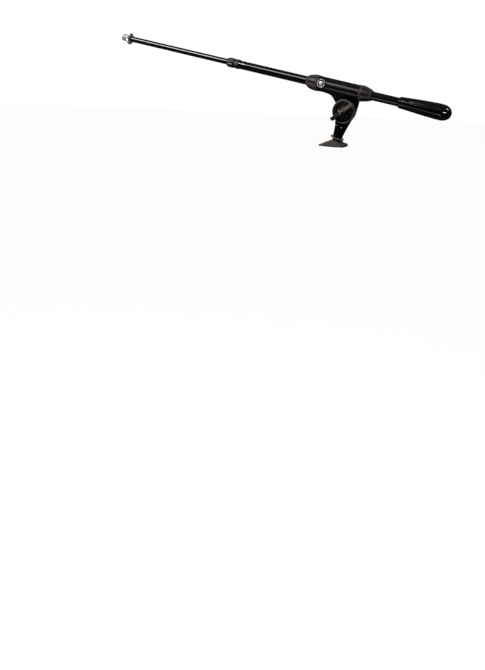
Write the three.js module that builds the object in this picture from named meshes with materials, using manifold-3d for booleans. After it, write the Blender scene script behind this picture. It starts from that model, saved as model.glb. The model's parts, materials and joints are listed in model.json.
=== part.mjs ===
// Telescoping boom arm for a microphone: a wedge foot with a threaded stud, a leaning swivel stem,
// a friction hinge with a T-bar knob, a clamp barrel, a sliding tube with a counterweight handle,
// and an inner tube that carries the microphone thread.
//
// Millimetres. +Z is the normal of the foot's underside. The origin is on that underside, on the
// centre line, ORIGIN_X towards the handle from the point where the stem's axis meets it.
// +X runs towards the handle (rear), -X towards the microphone (front). The hinge axis is parallel
// to Y, with the knob on the -Y side.
import * as THREE from "three";
import { mergeVertices } from "three/addons/utils/BufferGeometryUtils.js";
import Module from "manifold-3d";

const wasm = await Module();
wasm.setup();

// ---- dimensions shared between sections ---------------------------------------------------------
const DEG = Math.PI / 180;
const STEM_LEAN = 18.2 * DEG; // stem axis from the underside's normal, towards +X
const BOOM_RISE = 10.75 * DEG; // boom axis above the horizontal, rising towards the microphone
const PIVOT_S = 83.5; // hinge axis, measured along the stem's axis from the underside
const BOOM_OFFSET = 44.26; // boom axis above the hinge axis
const ORIGIN_X = 18.5;

const THREAD_R = 7.94; // 5/8 inch outside diameter, on the stud and at the microphone end
const STUD_HOLE_R = 5.3; // clears the stud's shank, in the foot, the washer and the nut
const BOLT_BORE_R = 4.35; // clears the hinge bolt
const THROUGH = 20; // half length of a cutter that passes right through along Y

// ---- finishes -----------------------------------------------------------------------------------
const GLOSS_BLACK = { color: 0x0b0b0c, roughness: 0.18, metalness: 0.1 };
const SATIN_BLACK = { color: 0x141414, roughness: 0.4, metalness: 0.1 };
const GRIP_GREY = { color: 0x4c4949, roughness: 0.65, metalness: 0 };
const FOOT_BROWN = { color: 0x3c3532, roughness: 0.6, metalness: 0.1 };
const RUBBER = { color: 0x121213, roughness: 0.5, metalness: 0 };
const CHROME = { color: 0xd6d8dc, roughness: 0.08, metalness: 1 };
const STEEL = { color: 0x9a9b9e, roughness: 0.35, metalness: 1 };
const BRASS = { color: 0xb08d4a, roughness: 0.35, metalness: 1 };
const NYLON = { color: 0xd8d4c8, roughness: 0.55, metalness: 0 };
const FIBRE = { color: 0x6a3b28, roughness: 0.8, metalness: 0 };

// ---- placing and combining solids ---------------------------------------------------------------
const turnX = (angle) => new THREE.Matrix4().makeRotationX(angle);
const turnY = (angle) => new THREE.Matrix4().makeRotationY(angle);
const shift = (x, y, z) => new THREE.Matrix4().makeTranslation(x, y, z);

const ALONG_X = new THREE.Matrix4().makeRotationZ(-Math.PI / 2); // a lathe's Y axis onto +X
const ALONG_Z = turnX(Math.PI / 2); // a lathe's Y axis onto +Z
const ALONG_MINUS_Y = turnX(Math.PI); // a lathe's Y axis onto -Y
const IN_XZ = turnX(Math.PI / 2); // a shape's XY plane onto XZ, its depth onto -Y

const placed = (solid, ...matrices) => matrices.reduce((s, m) => s.transform(m.elements), solid);
const join = (first, ...rest) => rest.reduce((sum, solid) => sum.add(solid), first);
const cut = (first, ...rest) => rest.reduce((left, solid) => left.subtract(solid), first);

// ---- making solids ------------------------------------------------------------------------------
function toSolid(source, ...matrices) {
  const geometry = source.index ? source.toNonIndexed() : source.clone();
  // Vertices can only be merged by place once their normals and UVs are gone.
  for (const name of Object.keys(geometry.attributes)) {
    if (name !== "position") geometry.deleteAttribute(name);
  }
  for (const matrix of matrices) geometry.applyMatrix4(matrix);
  const merged = mergeVertices(geometry, 1e-4);

  const triangles = [];
  const flipped = [];
  const index = merged.index.array;
  for (let i = 0; i < index.length; i += 3) {
    const [a, b, c] = [index[i], index[i + 1], index[i + 2]];
    if (a === b || b === c || c === a) continue;
    triangles.push(a, b, c);
    flipped.push(a, c, b);
  }
  const make = (corners) =>
    new wasm.Manifold(
      new wasm.Mesh({
        numProp: 3,
        vertProperties: new Float32Array(merged.attributes.position.array),
        triVerts: new Uint32Array(corners),
      }),
    );
  // A profile may run either way round; a negative volume means inside out.
  const solid = make(triangles);
  return solid.volume() >= 0 ? solid : make(flipped);
}

// A turned solid: profile points are [radius, distance along the axis]. A profile that leaves the
// axis is closed on itself.
function turned(profile, segments, ...matrices) {
  const points = profile.map(([radius, along]) => new THREE.Vector2(radius, along));
  const onAxis = (point) => point.x < 1e-9;
  if (!(onAxis(points[0]) && onAxis(points[points.length - 1]))) points.push(points[0].clone());
  return toSolid(new THREE.LatheGeometry(points, segments), ...matrices);
}

function cylinder(radius, from, to, segments, ...matrices) {
  return turned([[0, from], [radius, from], [radius, to], [0, to]], segments, ...matrices);
}

function tube(bore, radius, from, to, segments, ...matrices) {
  const profile = [[bore, from], [radius, from], [radius, to], [bore, to]];
  return turned(profile, segments, ...matrices);
}

function extruded(outline, depth, ...matrices) {
  const shape = new THREE.Shape(outline.map(([x, y]) => new THREE.Vector2(x, y)));
  const geometry = new THREE.ExtrudeGeometry(shape, { depth, bevelEnabled: false });
  return toSolid(geometry, ...matrices);
}

// A plate between y0 and y1 whose outline is given in the XZ plane.
const plate = (outline, y0, y1) => extruded(outline, y1 - y0, IN_XZ, shift(0, y1, 0));

// A block between z0 and z1 whose outline is given in the XY plane.
const block = (outline, z0, z1) => extruded(outline, z1 - z0, shift(0, 0, z0));

// Points on an arc about the origin, angles in degrees.
function arc(radius, from, to, steps) {
  return Array.from({ length: steps + 1 }, (_, i) => {
    const angle = (from + ((to - from) * i) / steps) * DEG;
    return [radius * Math.cos(angle), radius * Math.sin(angle)];
  });
}

const polygon = (radius, sides) => arc(radius, 0, 360 - 360 / sides, sides - 1);
const discPlate = (radius, sides, y0, y1) => plate(polygon(radius, sides), y0, y1);

// A closed solid through a stack of superellipse sections:
// [height, half width along X, half thickness along Y, squareness].
function lofted(sections, around) {
  const bent = (value, squareness) => Math.sign(value) * Math.abs(value) ** (2 / squareness);
  const rings = sections.map(([height, halfX, halfY, squareness]) =>
    Array.from({ length: around }, (_, i) => {
      const angle = (2 * Math.PI * i) / around;
      const x = halfX * bent(Math.cos(angle), squareness);
      const y = halfY * bent(Math.sin(angle), squareness);
      return [x, y, height];
    }),
  );
  const corners = [];
  const addTriangle = (a, b, c) => corners.push(...a, ...b, ...c);
  for (let k = 0; k + 1 < rings.length; k++) {
    const lower = rings[k];
    const upper = rings[k + 1];
    for (let i = 0; i < around; i++) {
      const next = (i + 1) % around;
      addTriangle(lower[i], lower[next], upper[next]);
      addTriangle(lower[i], upper[next], upper[i]);
    }
  }
  const bottom = rings[0];
  const top = rings[rings.length - 1];
  for (let i = 1; i + 1 < around; i++) {
    addTriangle(bottom[0], bottom[i + 1], bottom[i]);
    addTriangle(top[0], top[i], top[i + 1]);
  }
  const geometry = new THREE.BufferGeometry();
  geometry.setAttribute("position", new THREE.Float32BufferAttribute(corners, 3));
  return toSolid(geometry);
}

// A flat ring with chamfered outer edges, bored to run on the 5/8 inch thread.
const LOCK_RING_BORE_R = 8.25;
function lockRing({ from, to, radius, chamfer }, matrix) {
  const profile = [
    [LOCK_RING_BORE_R, from],
    [radius - chamfer, from],
    [radius, from + chamfer],
    [radius, to - chamfer],
    [radius - chamfer, to],
    [LOCK_RING_BORE_R, to],
  ];
  return turned(profile, 28, matrix);
}

function addPart(group, name, solid, finish) {
  const { numVert, numProp, vertProperties, triVerts } = solid.getMesh();
  const positions = new Float32Array(numVert * 3);
  for (let i = 0; i < numVert; i++) {
    positions.set(vertProperties.subarray(i * numProp, i * numProp + 3), i * 3);
  }
  const geometry = new THREE.BufferGeometry();
  geometry.setAttribute("position", new THREE.BufferAttribute(positions, 3));
  geometry.setIndex(new THREE.BufferAttribute(new Uint32Array(triVerts), 1));
  geometry.computeVertexNormals();
  const mesh = new THREE.Mesh(geometry, new THREE.MeshStandardMaterial(finish));
  mesh.name = name;
  group.add(mesh);
}

// ---- groups -------------------------------------------------------------------------------------
const foot = new THREE.Group(); // local origin where the stem's axis meets the underside

const stem = new THREE.Group(); // local Z is the stem's axis
stem.rotation.y = STEM_LEAN;

const hinge = new THREE.Group(); // at the hinge axis, local Z still along the stem
hinge.position.z = PIVOT_S;
stem.add(hinge);

const tilt = new THREE.Group(); // at the hinge axis, local -X towards the microphone
tilt.position.set(PIVOT_S * Math.sin(STEM_LEAN), 0, PIVOT_S * Math.cos(STEM_LEAN));
tilt.rotation.y = BOOM_RISE;

const boom = new THREE.Group(); // local +X towards the microphone, local +Y to the knob's side
boom.rotation.z = Math.PI;
tilt.add(boom);

const axis = new THREE.Group(); // local X is the boom's axis
axis.position.z = BOOM_OFFSET;
boom.add(axis);

const whole = new THREE.Group(); // carries the stem's axis to ORIGIN_X in front of the origin
whole.position.x = -ORIGIN_X;
whole.add(foot, stem, tilt);

const boomArm = new THREE.Group();
boomArm.add(whole);

// ---- foot ---------------------------------------------------------------------------------------
const FOOT_FRONT = -38.5;
const FOOT_REAR = 29;
const FOOT_HALF_W = 19;
const FOOT_BLANK_H = 24; // above the highest point of the side view
const FOOT_MARGIN = 1; // the side view's overlap beyond the plan
const FOOT_HALF_PLAN = [
  // x, half width
  [FOOT_FRONT, 2.2], [FOOT_FRONT + 1.8, 5.2], [FOOT_FRONT + 5.5, 7.6],
  [-24, 10.2], [-14, 14.6], [-5, 17.8], [3, FOOT_HALF_W], [14, FOOT_HALF_W],
  [22, 18.4], [26.6, 16], [FOOT_REAR, 11.5],
];
const FOOT_SIDE = [
  // x, z: the underside, then forwards over the top and down the ramp
  [FOOT_FRONT - FOOT_MARGIN, 0], [FOOT_REAR + FOOT_MARGIN, 0],
  [FOOT_REAR + FOOT_MARGIN, 5.2], [FOOT_REAR - 2, 6.6], [17.6, 7.0],
  [14.2, 11.2], [8, 12.9], [-3.4, 16.0], [FOOT_FRONT - FOOT_MARGIN, 1.8],
];
const SEAT = { from: 6, to: 15.2, lowerR: 11, upperR: 9.6 }; // cone about the stem's axis
const NUT_POCKET = { radius: 11.6, top: 10.6 };

const SCREW_R = 2.0;
const SCREW_HEAD_R = 3.9;
const SCREW_START = 0.4; // the screw's end, above the underside
const SCREW_HOLE_R = 2.4;
const COUNTERBORE_R = 4.7;
const FRONT_SCREW = { x: -19.4, floor: 6.9 }; // floor: height of the counterbore's floor
const REAR_SCREWS = { x: 22.0, y: 12.0, floor: 4.2 };
const FOOT_SCREWS = [
  // name, x, y, floor
  ["foot_screw_front", FRONT_SCREW.x, 0, FRONT_SCREW.floor],
  ["foot_screw_rear_left", REAR_SCREWS.x, REAR_SCREWS.y, REAR_SCREWS.floor],
  ["foot_screw_rear_right", REAR_SCREWS.x, -REAR_SCREWS.y, REAR_SCREWS.floor],
];

function mountingFoot() {
  const plan = [
    ...FOOT_HALF_PLAN.map(([x, halfWidth]) => [x, -halfWidth]),
    ...FOOT_HALF_PLAN.slice().reverse(),
  ];
  const halfDepth = FOOT_HALF_W + FOOT_MARGIN;
  const body = block(plan, 0, FOOT_BLANK_H).intersect(plate(FOOT_SIDE, -halfDepth, halfDepth));

  const { from, to, lowerR, upperR } = SEAT;
  const seat = turned([[0, from], [lowerR, from], [upperR, to], [0, to]], 24, ALONG_Z);
  const pocket = join(
    cylinder(NUT_POCKET.radius, -20, NUT_POCKET.top, 24, ALONG_Z),
    cylinder(STUD_HOLE_R, 0, 30, 18, ALONG_Z),
  );
  const lean = turnY(STEM_LEAN);
  const screwHoles = FOOT_SCREWS.map(([, x, y, floor]) => {
    const profile = [
      [0, -5], [SCREW_HOLE_R, -5], [SCREW_HOLE_R, floor],
      [COUNTERBORE_R, floor], [COUNTERBORE_R, 40], [0, 40],
    ];
    return placed(turned(profile, 14, ALONG_Z), shift(x, y, 0));
  });
  return cut(join(body, placed(seat, lean)), placed(pocket, lean), ...screwHoles);
}

function footScrew(x, y, floor) {
  const headFrom = floor + 0.3;
  const profile = [
    [0, SCREW_START], [1.2, SCREW_START], [SCREW_R, SCREW_START + 1.2],
    [SCREW_R, headFrom], [SCREW_HEAD_R, headFrom], [SCREW_HEAD_R, floor + 2.3],
    [2.6, floor + 3.4], [0, floor + 3.6],
  ];
  return placed(turned(profile, 12, ALONG_Z), shift(x, y, 0));
}

addPart(foot, "mounting_foot", mountingFoot(), FOOT_BROWN);
for (const [name, x, y, floor] of FOOT_SCREWS) {
  addPart(foot, name, footScrew(x, y, floor), SATIN_BLACK);
}

// ---- stud, washer, nut and lock disc, all on the stem's axis ------------------------------------
const STUD_SHANK_R = 5.0;
const STUD_BOTTOM = 3.9;
const STUD_TOP = 42.5;
const STUD_SHOULDER = { from: 15.4, to: 19.6, radius: 9.3 };
const STUD_WASHER = { from: 9.2, to: 10.4, radius: 10.6 };
const STUD_NUT = { from: 4.0, to: 9.0, radius: 9.8 }; // radius to the corners
const LOCK_DISC = { from: 19.9, to: 22.2, radius: 16.4, chamfer: 0.6 };

function threadStud() {
  const shankChamfer = 0.8;
  const threadChamfer = 1.2;
  const profile = [
    [0, STUD_BOTTOM],
    [STUD_SHANK_R - shankChamfer, STUD_BOTTOM],
    [STUD_SHANK_R, STUD_BOTTOM + shankChamfer],
    [STUD_SHANK_R, STUD_SHOULDER.from],
    [STUD_SHOULDER.radius, STUD_SHOULDER.from],
    [STUD_SHOULDER.radius, STUD_SHOULDER.to],
    [THREAD_R, STUD_SHOULDER.to],
    [THREAD_R, STUD_TOP - threadChamfer],
    [THREAD_R - threadChamfer, STUD_TOP],
    [0, STUD_TOP],
  ];
  return turned(profile, 24, ALONG_Z);
}

function studWasher() {
  const { from, to, radius } = STUD_WASHER;
  return tube(STUD_HOLE_R, radius, from, to, 18, ALONG_Z);
}

function studNut() {
  const { from, to, radius } = STUD_NUT;
  return cut(block(polygon(radius, 6), from, to), block(polygon(STUD_HOLE_R, 18), 0, 20));
}

addPart(stem, "thread_stud", threadStud(), STEEL);
addPart(stem, "stud_washer", studWasher(), STEEL);
addPart(stem, "stud_nut", studNut(), STEEL);
addPart(stem, "lock_disc", lockRing(LOCK_DISC, ALONG_Z), SATIN_BLACK);

// ---- swivel stem: a round socket below, a fork above --------------------------------------------
const STEM_SECTIONS = [
  // distance along the axis, half width along X, half thickness along Y, squareness
  [22.6, 10.7, 10.7, 2.0],
  [23.4, 11.2, 11.2, 2.0],
  [33.0, 12.0, 11.2, 2.1],
  [45.5, 13.8, 10.4, 2.6],
  [56.0, 15.9, 9.8, 3.4],
  [67.0, 17.8, 9.2, 4.5],
  [74.0, 18.9, 9.0, 5.0],
];
const STEM_BORE = { radius: 9.6, top: 43.8 };
const CHEEK_R = 20.4;
const CHEEK_Y = { inner: 5.4, outer: 9.0 }; // faces of each fork cheek
const SLOT_R = 26.5;
const PAD_R = 35.8; // raised face on the knob's side, edge centred on the hinge
const PAD_Y = { root: 6, face: 10.2 };
const PAD_INSET = 1.3; // from the stem's outline
const PAD_HEAD_INSET = 1.2; // from the cheek's outline
const STEM_PIN_PLACE = shift(5.4, 0, PIVOT_S - 36.4);
const STEM_PIN_HOLE = { radius: 1.7, floor: 7.4 };
const STEM_PIN = [
  // radius, distance from the middle plane towards the knob's side
  [0, 7.6], [1.45, 7.6], [1.45, 10.5], [2.3, 10.5], [1.8, 11.4], [0, 11.8],
];
const THREAD_INSERT = { bore: 8.15, radius: 9.45, from: 22.9, to: 43.4 };

// The raised face: the stem's own outline drawn in a little, down to an arc about the hinge.
function stemPad(toHinge) {
  const side = STEM_SECTIONS.slice(2).map(([along, halfX]) => [halfX - PAD_INSET, along]);
  const outline = [...side, ...side.map(([x, z]) => [-x, z]).reverse()];
  const { root, face } = PAD_Y;
  return join(
    plate(outline, -face, -root).intersect(placed(discPlate(PAD_R, 60, -12, 0), toHinge)),
    placed(discPlate(CHEEK_R - PAD_HEAD_INSET, 32, -face, -root), toHinge),
  );
}

function swivelStem() {
  const toHinge = shift(0, 0, PIVOT_S);
  const { inner, outer } = CHEEK_Y;
  const shank = lofted(STEM_SECTIONS, 28);
  const head = placed(discPlate(CHEEK_R, 32, -outer, outer), toHinge);
  const slot = placed(discPlate(SLOT_R, 40, -inner, inner), toHinge);
  const boltHole = placed(discPlate(BOLT_BORE_R, 18, -THROUGH, THROUGH), toHinge);
  const socket = cylinder(STEM_BORE.radius, 0, STEM_BORE.top, 24, ALONG_Z);
  const pinHole = placed(
    discPlate(STEM_PIN_HOLE.radius, 10, -THROUGH, -STEM_PIN_HOLE.floor),
    STEM_PIN_PLACE,
  );
  return cut(join(shank, head, stemPad(toHinge)), slot, boltHole, socket, pinHole);
}

const stemPin = () => placed(turned(STEM_PIN, 10, ALONG_MINUS_Y), STEM_PIN_PLACE);

function threadInsert() {
  const { bore, radius, from, to } = THREAD_INSERT;
  return tube(bore, radius, from, to, 24, ALONG_Z);
}

addPart(stem, "swivel_stem", swivelStem(), GLOSS_BLACK);
addPart(stem, "stem_pin", stemPin(), STEEL);
addPart(stem, "thread_insert", threadInsert(), BRASS);

// ---- hinge hardware: distances from the middle plane, positive to the knob's side (-Y) ----------
const BOLT_R = 4.0;
const BOLT_HEAD = { radius: 7.5, inner: 10.6, outer: 16.0 }; // on the side away from the knob
const BOLT_FROM = -10.8;
const BOLT_TO = 32.6;
const BOLT_CHAMFER = 0.8;
const BOLT_WASHER = { radius: 9.2, from: -10.4, to: -9.3, segments: 18 };
const FRICTION_DISC = { radius: 19.0, from: 4.4, to: 5.2, segments: 22 };
const FAR_FRICTION_DISC = { ...FRICTION_DISC, from: -FRICTION_DISC.to, to: -FRICTION_DISC.from };
const KNOB_WASHER = { radius: 9.4, from: 10.5, to: 11.6, segments: 18 };
const KNOB_INSERT = { radius: 5.95, from: 12.3, to: 29.6, segments: 18 };

function hingeBolt() {
  const head = plate(polygon(BOLT_HEAD.radius, 6), BOLT_HEAD.inner, BOLT_HEAD.outer);
  const shank = [
    [0, BOLT_FROM], [BOLT_R, BOLT_FROM], [BOLT_R, BOLT_TO - BOLT_CHAMFER],
    [BOLT_R - BOLT_CHAMFER, BOLT_TO], [0, BOLT_TO],
  ];
  return join(head, turned(shank, 18, ALONG_MINUS_Y));
}

// A ring on the hinge bolt.
function boltRing({ radius, from, to, segments }) {
  return tube(BOLT_BORE_R, radius, from, to, segments, ALONG_MINUS_Y);
}

const KNOB_R = 26;
const KNOB_BACK = 11.4;
const KNOB_RIM = 23.5;
const DISH_FLOOR = 16.4;
const KNOB_HUB = 43.6;
const KNOB_HUB_R = 6.6;
const KNOB_PROFILE = [
  // the recess for the screw, then the hub's outside and the dish
  [0, KNOB_HUB - 3.2], [4.7, KNOB_HUB - 3.2], [4.7, KNOB_HUB],
  [KNOB_HUB_R, KNOB_HUB - 0.3], [7.4, KNOB_HUB - 4], [8.4, DISH_FLOOR + 1.8],
  [9.6, DISH_FLOOR - 0.1], [19.8, DISH_FLOOR + 0.1], [22.0, DISH_FLOOR + 2.2],
  // the rim and the back
  [23.4, KNOB_RIM], [25.2, KNOB_RIM], [KNOB_R, KNOB_RIM - 1.2],
  [KNOB_R, KNOB_BACK + 1.4], [KNOB_R - 1.5, KNOB_BACK], [9.9, KNOB_BACK],
  // the stepped bore
  [9.9, 11.9], [6.2, 11.9], [6.2, 30], [4.5, 30], [4.5, 34.5], [0, 34.5],
];
const KNOB_SCREW = [
  [0, KNOB_HUB - 2.9], [4.4, KNOB_HUB - 2.9], [4.4, KNOB_HUB + 0.2],
  [3.2, KNOB_HUB + 1.2], [0, KNOB_HUB + 1.5],
];
const TBAR_HALF = 29.5;
const TBAR_TOP = 38;
const TBAR_W = 7.6;
const TBAR_ANGLE = 53.5 * DEG; // from across the stem, in the plane of the knob
const TBAR_NOTCH = { length: 8.3, rimGap: 0.8 };

// The T-bar, cut away in the middle for the hub that it joins. A notch at one end, the upper one
// once turned, lifts it over the rim.
function knobBar() {
  const rectangle = (x0, x1, halfZ) => [[x0, -halfZ], [x1, -halfZ], [x1, halfZ], [x0, halfZ]];
  const wing = plate(rectangle(-TBAR_HALF, TBAR_HALF, TBAR_W / 2), -TBAR_TOP, -DISH_FLOOR);
  const notch = plate(
    rectangle(TBAR_HALF - TBAR_NOTCH.length, TBAR_HALF + 1, 20),
    -KNOB_RIM - TBAR_NOTCH.rimGap,
    -10,
  );
  const core = cylinder(KNOB_HUB_R, 10, 50, 32, ALONG_MINUS_Y);
  return placed(cut(wing, notch, core), turnY(-TBAR_ANGLE));
}

const tiltKnob = () => join(turned(KNOB_PROFILE, 32, ALONG_MINUS_Y), knobBar());

addPart(hinge, "hinge_bolt", hingeBolt(), STEEL);
addPart(hinge, "bolt_washer", boltRing(BOLT_WASHER), STEEL);
addPart(hinge, "friction_disc_knob_side", boltRing(FRICTION_DISC), FIBRE);
addPart(hinge, "friction_disc_far_side", boltRing(FAR_FRICTION_DISC), FIBRE);
addPart(hinge, "knob_washer", boltRing(KNOB_WASHER), STEEL);
addPart(hinge, "tilt_knob", tiltKnob(), SATIN_BLACK);
addPart(hinge, "knob_insert", boltRing(KNOB_INSERT), BRASS);
addPart(hinge, "knob_screw", turned(KNOB_SCREW, 14, ALONG_MINUS_Y), STEEL);

// ---- saddle: tongue, web and barrel in one casting ----------------------------------------------
// From here on, distances along the boom are from the hinge, positive to the microphone.
const BARREL = { radius: 16.5, bore: 10.4, from: -22.0, to: 77.4 };
// Threaded ends under the clutch grips, bored wider to boreDepth and then tapering to the barrel's.
const NOSE = { radius: 12.9, bore: 11.4, from: -32.5, to: 92.5, boreDepth: 12.3, taper: 1 };
const TONGUE_R = 22.6;
const TONGUE_Y = 4.25; // half thickness of tongue and web
const WEB_REAR = BARREL.from + 0.2;
const WEB_OUTLINE = [
  // x, z from the hinge: round the tongue, up the front, back inside the barrel, down the rear
  ...arc(TONGUE_R, 180, 360, 16),
  [23.2, 4.2], [26.2, 9.2], [31.0, 14.6], [37.6, 21.4], [45.5, 26.6], [54.5, 29.0],
  [60, 29.4], [60, 33], [WEB_REAR, 33], [WEB_REAR, 26.4],
  [-24.6, 26.2], [-24.6, 21], [-23.2, 5],
];
const FLARE_Y = 8; // half thickness of the wider strip under the barrel
const FLARE_OUTLINE = [
  // x, z from the hinge
  [-17.6, 26.4], [-10, 25.2], [36, 25.2], [45.5, 27.2], [56, 29.2], [56, 33], [-17.6, 33],
];
const BADGE_AT = 66.5;
const BADGE_TILT = 10 * DEG; // upwards from straight out on the knob's side
const BADGE_BOSS = { radius: 10.6, from: 12.6, to: 17.3 }; // distances are from the boom's axis
const BADGE_RECESS = { radius: 9.5, from: 15.4, to: 20 };
const BEZEL = { radius: 9.2, from: 15.7, to: 17.9 };
const BEZEL_HOLE = { radius: 7.3, from: 10, to: 20 };
const BADGE_DISC = { radius: 7.0, from: 15.7, to: 17.5 };

// A round solid on the badge's axis.
function badgeRound({ radius, from, to }) {
  return placed(
    cylinder(radius, from, to, 24),
    turnX(BADGE_TILT),
    shift(BADGE_AT, 0, 0),
    shift(0, 0, BOOM_OFFSET),
  );
}

function saddleBody() {
  const toBoomAxis = shift(0, 0, BOOM_OFFSET);
  const barrelProfile = [
    [0, NOSE.from], [NOSE.radius, NOSE.from], [NOSE.radius, BARREL.from],
    [BARREL.radius, BARREL.from], [BARREL.radius, BARREL.to],
    [NOSE.radius, BARREL.to], [NOSE.radius, NOSE.to], [0, NOSE.to],
  ];
  const overshoot = 5;
  const taperEnd = NOSE.boreDepth + NOSE.taper;
  const boreProfile = [
    [0, NOSE.from - overshoot],
    [NOSE.bore, NOSE.from - overshoot],
    [NOSE.bore, NOSE.from + NOSE.boreDepth],
    [BARREL.bore, NOSE.from + taperEnd],
    [BARREL.bore, NOSE.to - taperEnd],
    [NOSE.bore, NOSE.to - NOSE.boreDepth],
    [NOSE.bore, NOSE.to + overshoot],
    [0, NOSE.to + overshoot],
  ];
  const casting = join(
    placed(turned(barrelProfile, 28, ALONG_X), toBoomAxis),
    plate(WEB_OUTLINE, -TONGUE_Y, TONGUE_Y),
    plate(FLARE_OUTLINE, -FLARE_Y, FLARE_Y),
    badgeRound(BADGE_BOSS),
  );
  return cut(
    casting,
    placed(turned(boreProfile, 24, ALONG_X), toBoomAxis),
    discPlate(BOLT_BORE_R, 18, -THROUGH, THROUGH),
    badgeRound(BADGE_RECESS),
  );
}

const badgeBezel = () => cut(badgeRound(BEZEL), badgeRound(BEZEL_HOLE));

addPart(boom, "saddle_body", saddleBody(), GLOSS_BLACK);
addPart(boom, "badge_bezel", badgeBezel(), CHROME);
addPart(boom, "badge_disc", badgeRound(BADGE_DISC), GLOSS_BLACK);

// ---- the two boom clutches: a grip and a collet at each end of the barrel -----------------------
// Profiles from here on are [radius, distance along the boom].
const FRONT_CLUTCH_GRIP = [
  [13.2, 77.8], [16.9, 77.8], [17.3, 78.3], [17.3, 84.0], [16.9, 89], [15.9, 94.5],
  [14.2, 99.8], [12.0, 104.2], [10.9, 105.9], [10.4, 106.2], [9.95, 106.2],
  [9.95, 103], [13.2, 93.6],
];
const REAR_CLUTCH_GRIP = [
  [13.2, -22.4], [16.9, -22.4], [17.3, -22.9], [17.3, -27.5], [16.8, -31], [15.7, -36],
  [13.9, -42.4], [12.2, -47.4], [11.4, -50.2], [10.7, -50.8], [9.95, -50.8],
  [9.95, -46], [13.2, -34],
];
const FRONT_COLLET = [[9.75, 81], [11.2, 81], [11.2, 92.4], [10.2, 100.6], [9.75, 100.6]];
const REAR_COLLET = [[9.75, -21], [11.2, -21], [11.2, -32.8], [10.2, -44], [9.75, -44]];

addPart(axis, "front_clutch_grip", turned(FRONT_CLUTCH_GRIP, 28, ALONG_X), GRIP_GREY);
addPart(axis, "rear_clutch_grip", turned(REAR_CLUTCH_GRIP, 28, ALONG_X), GRIP_GREY);
addPart(axis, "front_collet", turned(FRONT_COLLET, 24, ALONG_X), NYLON);
addPart(axis, "rear_collet", turned(REAR_COLLET, 24, ALONG_X), NYLON);

// ---- outer tube, with a shallow crimped groove near its front end -------------------------------
const OUTER = { radius: 9.5, bore: 8.4, from: -150.5, to: 288.2 };
const CRIMP = { at: 262, halfWidth: 2, halfFloor: 0.8, depth: 0.45 };

function outerTube() {
  const { radius, bore, from, to } = OUTER;
  const { at, halfWidth, halfFloor, depth } = CRIMP;
  const profile = [
    [bore, from], [radius, from],
    [radius, at - halfWidth], [radius - depth, at - halfFloor],
    [radius - depth, at + halfFloor], [radius, at + halfWidth],
    [radius, to], [bore, to],
  ];
  return turned(profile, 24, ALONG_X);
}

addPart(axis, "outer_tube", outerTube(), GLOSS_BLACK);

// ---- counterweight handle at the rear -----------------------------------------------------------
const HANDLE_GRIP = [
  // the outside, front to rear, then back through the stepped bore
  [9.8, -113.6], [10.9, -113.6], [12.3, -115.2], [12.6, -119.8], [14.5, -147],
  [16.2, -174], [17.3, -199], [17.2, -206.5],
  [11.6, -206.5], [11.6, -122], [9.8, -122],
];
const COUNTERWEIGHT = [
  // a hollow front end round the outer tube, solid behind it
  [0, -151], [9.75, -151], [9.75, -122.4], [11.3, -122.4], [11.3, -209.2], [0, -209.2],
];
const HANDLE_END_CAP = [
  [0, -209.6], [11.6, -209.6], [11.6, -206.9], [17.2, -206.9], [17.0, -211],
  [15.8, -217.6], [12.4, -224.4], [6.8, -229.0], [0, -230.5],
];

addPart(axis, "handle_grip", turned(HANDLE_GRIP, 24, ALONG_X), RUBBER);
addPart(axis, "counterweight", turned(COUNTERWEIGHT, 22, ALONG_X), STEEL);
addPart(axis, "handle_end_cap", turned(HANDLE_END_CAP, 24, ALONG_X), GLOSS_BLACK);

// ---- telescope clutch at the outer tube's front end ---------------------------------------------
const TELESCOPE_SLEEVE = [
  [6.85, 270], [8.15, 270], [8.15, 288.5], [9.75, 288.5], [9.75, 281], [10.3, 281],
  [10.7, 281.6], [10.7, 290.6], [10.1, 291.4], [8.9, 291.4], [8.9, 305.5], [6.85, 305.5],
];
const TELESCOPE_COLLAR = [
  [9.15, 294.8], [9.9, 294.8], [10.6, 296], [11.1, 300], [11.1, 305], [10.4, 309.4],
  [9.0, 312.6], [7.9, 313.6], [6.95, 313.6], [6.95, 311.4], [9.15, 307.4],
];
const TELESCOPE_BUSH = [[6.75, 305.9], [8.6, 305.9], [7.8, 308.8], [6.75, 308.8]];

addPart(axis, "telescope_sleeve", turned(TELESCOPE_SLEEVE, 24, ALONG_X), SATIN_BLACK);
addPart(axis, "telescope_collar", turned(TELESCOPE_COLLAR, 24, ALONG_X), GRIP_GREY);
addPart(axis, "telescope_bush", turned(TELESCOPE_BUSH, 22, ALONG_X), NYLON);

// ---- inner tube and the microphone thread -------------------------------------------------------
const INNER = { radius: 6.55, bore: 5.6, from: 232, to: 587.5 };
const STOP_BUSH = { radius: 8.1, bore: 6.7, from: 232.4, to: 244 };
const TIP = { bore: 3.4, spigotR: 5.4, from: 558, shoulder: 587.8, to: 611, chamfer: 1.1 };
const TIP_LOCK_RING = { from: 588.3, to: 593.3, radius: 13.5, chamfer: 0.8 };
const TIP_PIN_AT = 575.8;
const TIP_PIN = { radius: 1.4, from: 4.2, to: 6.6 }; // distances are from the boom's axis
const PIN_HOLE_IN_TUBE = { radius: 1.7, from: 3.5, to: 10 };
const PIN_HOLE_IN_SPIGOT = { radius: 1.7, from: 3.9, to: 10 };

const boomTube = ({ bore, radius, from, to }) => tube(bore, radius, from, to, 22, ALONG_X);

// The pin enters the tube wall and the tip's spigot from the knob's side.
function pinRound({ radius, from, to }) {
  return placed(cylinder(radius, from, to, 10), shift(TIP_PIN_AT, 0, 0));
}

const innerTube = () => cut(boomTube(INNER), pinRound(PIN_HOLE_IN_TUBE));

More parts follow.
